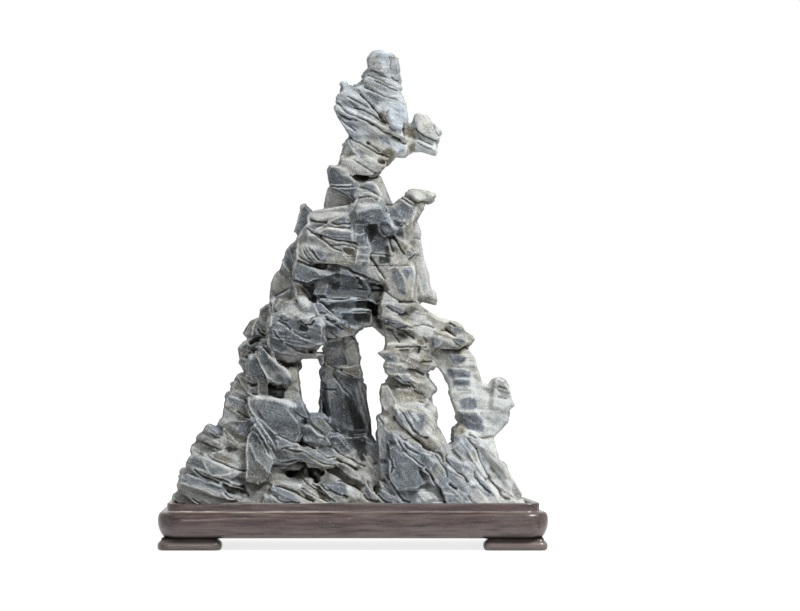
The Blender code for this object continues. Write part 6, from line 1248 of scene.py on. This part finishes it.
def make_piece(name, skin, normals, shades, quads):
    """One piece of the skin, made of the given quads, with the whole skin's normals."""
    used, corners = np.unique(quads, return_inverse=True)
    mesh = bpy.data.meshes.new(name)
    mesh.vertices.add(len(used))
    mesh.vertices.foreach_set("co", (skin.points[used] * MM).ravel())
    mesh.loops.add(corners.size)
    mesh.loops.foreach_set("vertex_index", corners.ravel())
    mesh.polygons.add(len(quads))
    mesh.polygons.foreach_set("loop_start", np.arange(len(quads)) * 4)
    mesh.update(calc_edges=True)
    mesh.shade_smooth()
    mesh.normals_split_custom_set_from_vertices(normals[used])
    add_shades(mesh, {shade: values[used] for shade, values in shades.items()})
    return place_in_scene(name, mesh)


def make_stone(frame, material):
    """The stone's skin in pieces from its foot to its head."""
    skin = Skin(make_skin(frame["nodes"]["rock"]))
    shades = weathered(skin)
    skin.points = trimmed(skin.points)
    normals = skin.normals()
    rise = skin.points[skin.quads, 2].mean(axis=1)
    groups = np.array_split(np.argsort(rise), len(STONE_PIECES))
    for name, group in zip(STONE_PIECES, groups):
        piece = make_piece(name, skin, normals, shades, skin.quads[group])
        piece.data.materials.append(material)
        dress(piece, "rock")


class Nodes:
    """Builds a material's nodes by name."""

    def __init__(self, name):
        self.material = bpy.data.materials.new(name)
        self.material.use_nodes = True
        self.tree = self.material.node_tree
        self.shader = self.tree.nodes["Principled BSDF"]

    def add(self, kind, inputs=(), **settings):
        node = self.tree.nodes.new(kind)
        for name, value in settings.items():
            setattr(node, name, value)
        for key, value in dict(inputs).items():
            self.feed(node.inputs[key], value)
        return node

    def feed(self, socket, value):
        if isinstance(value, bpy.types.NodeSocket):
            self.tree.links.new(value, socket)
        else:
            socket.default_value = value

    def filled(self, **inputs):
        """Feeds the shader's inputs, by their names with _ for each space, and returns the material."""
        for name, value in inputs.items():
            self.feed(self.shader.inputs[name.replace("_", " ")], value)
        return self.material

    def place(self):
        return self.add("ShaderNodeTexCoord").outputs["Object"]

    def stretched(self, place, *scale):
        return self.add("ShaderNodeMapping", {"Vector": place, "Scale": scale}).outputs["Vector"]

    def shade(self, name):
        return self.add("ShaderNodeAttribute", attribute_name=name).outputs["Fac"]

    def ramp(self, value, *stops):
        """Maps a value through (place, brightness) stops."""
        node = self.add("ShaderNodeValToRGB", {"Fac": value})
        ends = node.color_ramp.elements
        while len(ends) < len(stops):
            ends.new(0.5)
        for end, (place, level) in zip(ends, stops):
            end.position = place
            end.color = (level, level, level, 1)
        return node.outputs["Color"]

    def between(self, value, low, high):
        node = self.add("ShaderNodeMapRange", {"Value": value, "From Min": low, "From Max": high})
        node.interpolation_type = "SMOOTHSTEP"
        return node.outputs["Result"]

    def mix(self, share, one, two, blend_type="MIX"):
        node = self.add("ShaderNodeMix", data_type="RGBA", blend_type=blend_type)
        for place, value in ((0, share), (6, one), (7, two)):
            self.feed(node.inputs[place], value)
        return node.outputs[2]

    def maths(self, operation, one, two):
        return self.add("ShaderNodeMath", {0: one, 1: two}, operation=operation).outputs[0]

    def plus(self, one, two):
        return self.maths("ADD", one, two)

    def times(self, one, two):
        return self.maths("MULTIPLY", one, two)

    def swing(self, value, strength):
        """How far a value from 0 to 1 is from its middle, times a strength."""
        return self.times(self.maths("SUBTRACT", value, 0.5), strength)

    def noise(self, place, scale, detail, roughness=0.55, **settings):
        inputs = {"Vector": place, "Scale": scale, "Detail": detail, "Roughness": roughness}
        return self.add("ShaderNodeTexNoise", inputs, **settings)

    def clouds(self, *sizes):
        return self.noise(*sizes).outputs["Fac"]

    def bump(self, height, strength, distance):
        inputs = {"Height": height, "Strength": strength, "Distance": distance}
        return self.add("ShaderNodeBump", inputs).outputs["Normal"]


def stone_material():
    """Slate and limestone: each point's own shade, mottled by noise, by its layers and by fine specks."""
    nodes = Nodes("stone")
    place = nodes.place()
    patch = nodes.clouds(place, 450.0, 5.0)
    fine = nodes.clouds(place, 2300.0, 4.0, 0.75)
    layers = nodes.noise(nodes.stretched(place, 110, 110, 110), 1.0, 4.0, 0.62, noise_dimensions="4D")
    nodes.feed(layers.inputs["W"], nodes.times(nodes.shade("height"), 0.75))
    lines = layers.outputs["Fac"]
    mottle = nodes.plus(nodes.plus(nodes.swing(patch, 0.5), nodes.swing(fine, 1.1)), nodes.swing(lines, 1.0))
    light = nodes.shade("light")
    share = nodes.plus(nodes.times(light, 0.9), 0.3)
    specks = nodes.between(nodes.clouds(place, 3200.0, 2.0), 0.6, 0.72)
    light = nodes.plus(nodes.plus(light, nodes.times(mottle, share)), nodes.times(specks, share))
    stone = nodes.ramp(light, *STONE_SHADES)
    tint = nodes.mix(nodes.between(nodes.shade("warm"), -1.0, 1.0), COLD_TINT, WARM_TINT)
    return nodes.filled(
        Base_Color=nodes.mix(1.0, stone, tint, "MULTIPLY"),
        Specular_IOR_Level=0.2,
        Roughness=0.75,
        Normal=nodes.bump(nodes.plus(nodes.times(lines, 2.0), fine), 0.5, 0.0004),
    )


def slide(half_y, y):
    """How far the board's right end is drawn in at a Y, so that it slants away towards the back."""
    return RIGHT_END_SLANT * ((y + half_y) / (2 * half_y) - SLANT_START)


def rounded_outline(half_x, half_y, radius, corner_steps, side_steps):
    """The (x, y) points of a rounded rectangle, with its two long sides cut into steps."""
    points = []
    for corner_x, corner_y, turn in ((1, 1, 0), (-1, 1, 90), (-1, -1, 180), (1, -1, 270)):
        centre_x = corner_x * (half_x - radius)
        centre_y = corner_y * (half_y - radius)
        for step in range(corner_steps + 1):
            angle = math.radians(turn + 90 * step / corner_steps)
            points.append((centre_x + radius * math.cos(angle), centre_y + radius * math.sin(angle)))
        if corner_x * corner_y > 0:
            run = -2 * centre_x / side_steps
            points += [(centre_x + run * step, corner_y * half_y) for step in range(1, side_steps)]
    return np.array(points)


def moved_in(place, inward, amount):
    """Moves points inward by the size of an amount, by less within 1 mm of the middle."""
    inward = inward / np.maximum(np.linalg.norm(inward, axis=1, keepdims=True), 1)
    return place + inward * np.abs(amount)[:, None]


def board_ring(outset, z):
    """The board's outline at a height: a little uneven, as it is cut by hand."""
    half_x, half_y = RIM_HALF_LENGTH + outset, RIM_HALF_DEPTH + outset
    x, y = rounded_outline(half_x, half_y, CORNER_RADIUS + outset, 14, 150).T
    sway = FRONT_SWAY if outset > -LIP_WIDTH else 0.0
    y = y - np.sign(y) * sway * np.cos(np.minimum(np.abs(x) / half_x, 1) * math.pi / 2) ** 2
    x = x - np.maximum(x, 0) / half_x * slide(half_y, y)
    place = np.stack([x, y, np.full(len(x), z)], axis=1)
    uneven = blend(place * (1, 1, 2), BOARD_WAVES) + blend(place, BOARD_DENTS)
    place = moved_in(place, place * (-1, -1, 0), uneven)
    place[:, 2] += blend(place * (1, 1, 0), LEDGE_WAVES) * smooth_step(5.0, 10.0, z)
    return place


def foot_ring(outset, z, left, right, centre_y):
    """A foot's outline at a height. It is uneven too, but not where it stands or where it is glued."""
    half_x, half_y = (right - left) / 2 + outset, FOOT_DEPTH / 2 + outset
    outline = rounded_outline(half_x, half_y, FOOT_RADIUS + outset, 9, 30)
    centre = np.array([(left + right) / 2, centre_y])
    place = np.column_stack([outline + centre, np.full(len(outline), z)])
    if not FOOT_FLAT_ENDS[0] <= z <= FOOT_FLAT_ENDS[1]:
        return place
    return moved_in(place, np.array([*centre, z]) - place, blend(place, FOOT_DENTS))


def wood_shades(x, z):
    """The stand's shades: dust on its ledge and rim with a painted highlight, a painted reflection of the
    floor on the lower belly, a painted highlight line round the feet, and painted shade in the gap over the
    feet.
    """
    # Dust on the ledge and the rim, which also paints a highlight there, stronger towards the left end.
    ledge = hump(z - LEDGE_Z, 0.17) * (0.35 + 0.45 * smooth_step(15, -30, x))
    rim = 0.35 * smooth_step(RIM_Z - 0.4, RIM_Z, z) * (0.5 + 0.5 * smooth_step(0, -50, x))
    # A painted reflection of the floor on the lower belly, and a painted highlight line round the feet.
    painted_reflection_and_highlight = 0.8 * smooth_step(9.0, 6.0, z) + 0.7 * hump(z - FOOT_HIGHLIGHT_Z, 0.3)
    # Painted shade in the gap between the board and the feet.
    painted_gap_shade = hump(z - GAP_Z, 0.7) * smooth_step(GAP_END_X, GAP_END_X + 1.0, np.abs(x))
    return {"dust_and_highlight": ledge + rim, "painted_reflection_and_highlight": painted_reflection_and_highlight, "painted_gap_shade": painted_gap_shade}


def make_wood(name, node, rings, material):
    """A piece of the stand, skinned over its rings."""
    size = len(rings[0])
    steps = np.arange(size)
    after = (steps + 1) % size
    top = (len(rings) - 1) * size
    quads = [np.stack([low + steps, low + after, low + size + after, low + size + steps], axis=1)
             for low in range(0, top, size)]
    faces = [list(steps[::-1])] + np.concatenate(quads).tolist() + [list(top + steps)]
    points = np.concatenate(rings)
    mesh = bpy.data.meshes.new(name)
    mesh.from_pydata((points * MM).tolist(), [], faces)
    mesh.shade_smooth()
    mesh.set_sharp_from_angle(angle=CREASE_ANGLE)
    add_shades(mesh, wood_shades(points[:, 0], points[:, 2]))
    mesh.materials.append(material)
    dress(place_in_scene(name, mesh), node)


def make_stand(material):
    make_wood("board", "stand", [board_ring(*place) for place in BOARD_PROFILE], material)
    for node, (left, right, centre_y) in FEET.items():
        rings = [foot_ring(*place, left, right, centre_y) for place in FOOT_PROFILE]
        make_wood("board_" + node, node, rings, material)


def wood_material():
    """Dark satin hardwood: lengthwise grain, rubbed paler patches, a painted reflection on the lower belly,
    painted highlights on the feet, the ledge and the rim, dust in its groove, and painted shade over the
    feet.
    """
    nodes = Nodes("hardwood")
    place = nodes.place()
    along = nodes.stretched(place, 1.0, 12.0, 12.0)
    grain = nodes.clouds(along, 75.0, 7.0, 0.68)
    rubbed = nodes.clouds(place, 55.0, 3.0)
    colour = nodes.mix(nodes.between(grain, 0.32, 0.7), DARK_GRAIN, PALE_GRAIN)
    # Random rubbed patches, and the painted reflection and highlight, turn the wood paler.
    worn = nodes.plus(nodes.times(nodes.between(rubbed, 0.48, 0.66), 0.25), nodes.shade("painted_reflection_and_highlight"))
    worn = nodes.times(worn, nodes.between(grain, 0.25, 0.6))
    colour = nodes.mix(worn, colour, RUBBED_AND_LIT_WOOD)
    speck = nodes.times(nodes.between(nodes.clouds(place, 2600.0, 2.0), 0.66, 0.72), 0.35)
    colour = nodes.mix(speck, colour, WOOD_SPECKS)
    # Dust on the ledge and rim, which also paints a highlight there.
    dusted_and_lit = nodes.times(nodes.shade("dust_and_highlight"), nodes.between(nodes.clouds(along, 160.0, 5.0, 0.7), 0.3, 0.6))
    colour = nodes.mix(dusted_and_lit, colour, PALE_DUST_AND_HIGHLIGHT)
    # Painted shade in the gap over the feet, with no gloss there.
    painted_gap_shade = nodes.shade("painted_gap_shade")
    gloss = nodes.maths("SUBTRACT", WOOD_GLOSS, nodes.times(painted_gap_shade, WOOD_GLOSS))
    rough = nodes.add("ShaderNodeMapRange", {"Value": rubbed, "To Min": 0.25, "To Max": 0.42})
    return nodes.filled(
        Base_Color=nodes.mix(painted_gap_shade, colour, DEEP_SHADE),
        Specular_IOR_Level=gloss,
        Coat_Weight=nodes.times(gloss, 0.6),
        Roughness=rough.outputs["Result"],
        Coat_Roughness=0.14,
        Normal=nodes.bump(grain, 0.3, 0.0003),
    )


def make_floor():
    """A wide pale disc that glows a little, so that it is as white as the photo's background."""
    form = bmesh.new()
    bmesh.ops.create_circle(form, cap_ends=True, segments=96, radius=3.0)
    mesh = bpy.data.meshes.new("floor")
    form.to_mesh(mesh)
    form.free()
    nodes = Nodes("pale_floor")
    mesh.materials.append(nodes.filled(
        Base_Color=(0.25, 0.25, 0.25, 1),
        Roughness=0.9,
        Emission_Color=(1, 1, 1, 1),
        Emission_Strength=0.78,
    ))
    place_in_scene("floor", mesh)


def add_light(name, place, size, power):
    """A square lamp that looks at the middle of the object."""
    lamp = bpy.data.lights.new(name, "AREA")
    lamp.size = size
    lamp.energy = power
    light = place_in_scene(name, lamp)
    light.location = place
    light.rotation_euler = (Vector((0, 0, 0.07)) - light.location).to_track_quat("-Z", "Y").to_euler()


def make_light():
    """Soft white light from all round, a key from the upper right and a small window low in front."""
    world = bpy.data.worlds.new("studio")
    bpy.context.scene.world = world
    world.use_nodes = True
    backdrop = world.node_tree.nodes["Background"]
    backdrop.inputs["Color"].default_value = (1, 1, 1, 1)
    backdrop.inputs["Strength"].default_value = 1.0
    add_light("key", (0.45, -0.45, 0.75), 0.35, 16.0)
    add_light("window", (-0.11, -0.85, 0.2), 0.07, 0.5)
    bpy.context.scene.view_settings.view_transform = "Standard"


def make_camera():
    lens = bpy.data.cameras.new("camera")
    lens.sensor_width = SENSOR
    lens.lens = FOCAL_PIXELS / FRAME_WIDTH * SENSOR
    camera = place_in_scene("camera", lens)
    camera.location = (CAMERA_X * MM, CAMERA_Y * MM, CAMERA_Z * MM)
    camera.rotation_euler = (math.radians(90), 0, 0)
    bpy.context.scene.camera = camera


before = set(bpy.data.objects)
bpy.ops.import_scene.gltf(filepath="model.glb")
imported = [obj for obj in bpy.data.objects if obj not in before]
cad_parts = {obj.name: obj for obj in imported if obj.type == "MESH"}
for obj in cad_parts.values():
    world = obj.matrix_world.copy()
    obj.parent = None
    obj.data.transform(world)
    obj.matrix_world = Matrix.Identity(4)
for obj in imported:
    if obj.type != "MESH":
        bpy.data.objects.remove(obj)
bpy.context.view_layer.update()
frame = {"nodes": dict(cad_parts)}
make_camera()
make_stone(frame, stone_material())
make_stand(wood_material())
make_floor()
make_light()
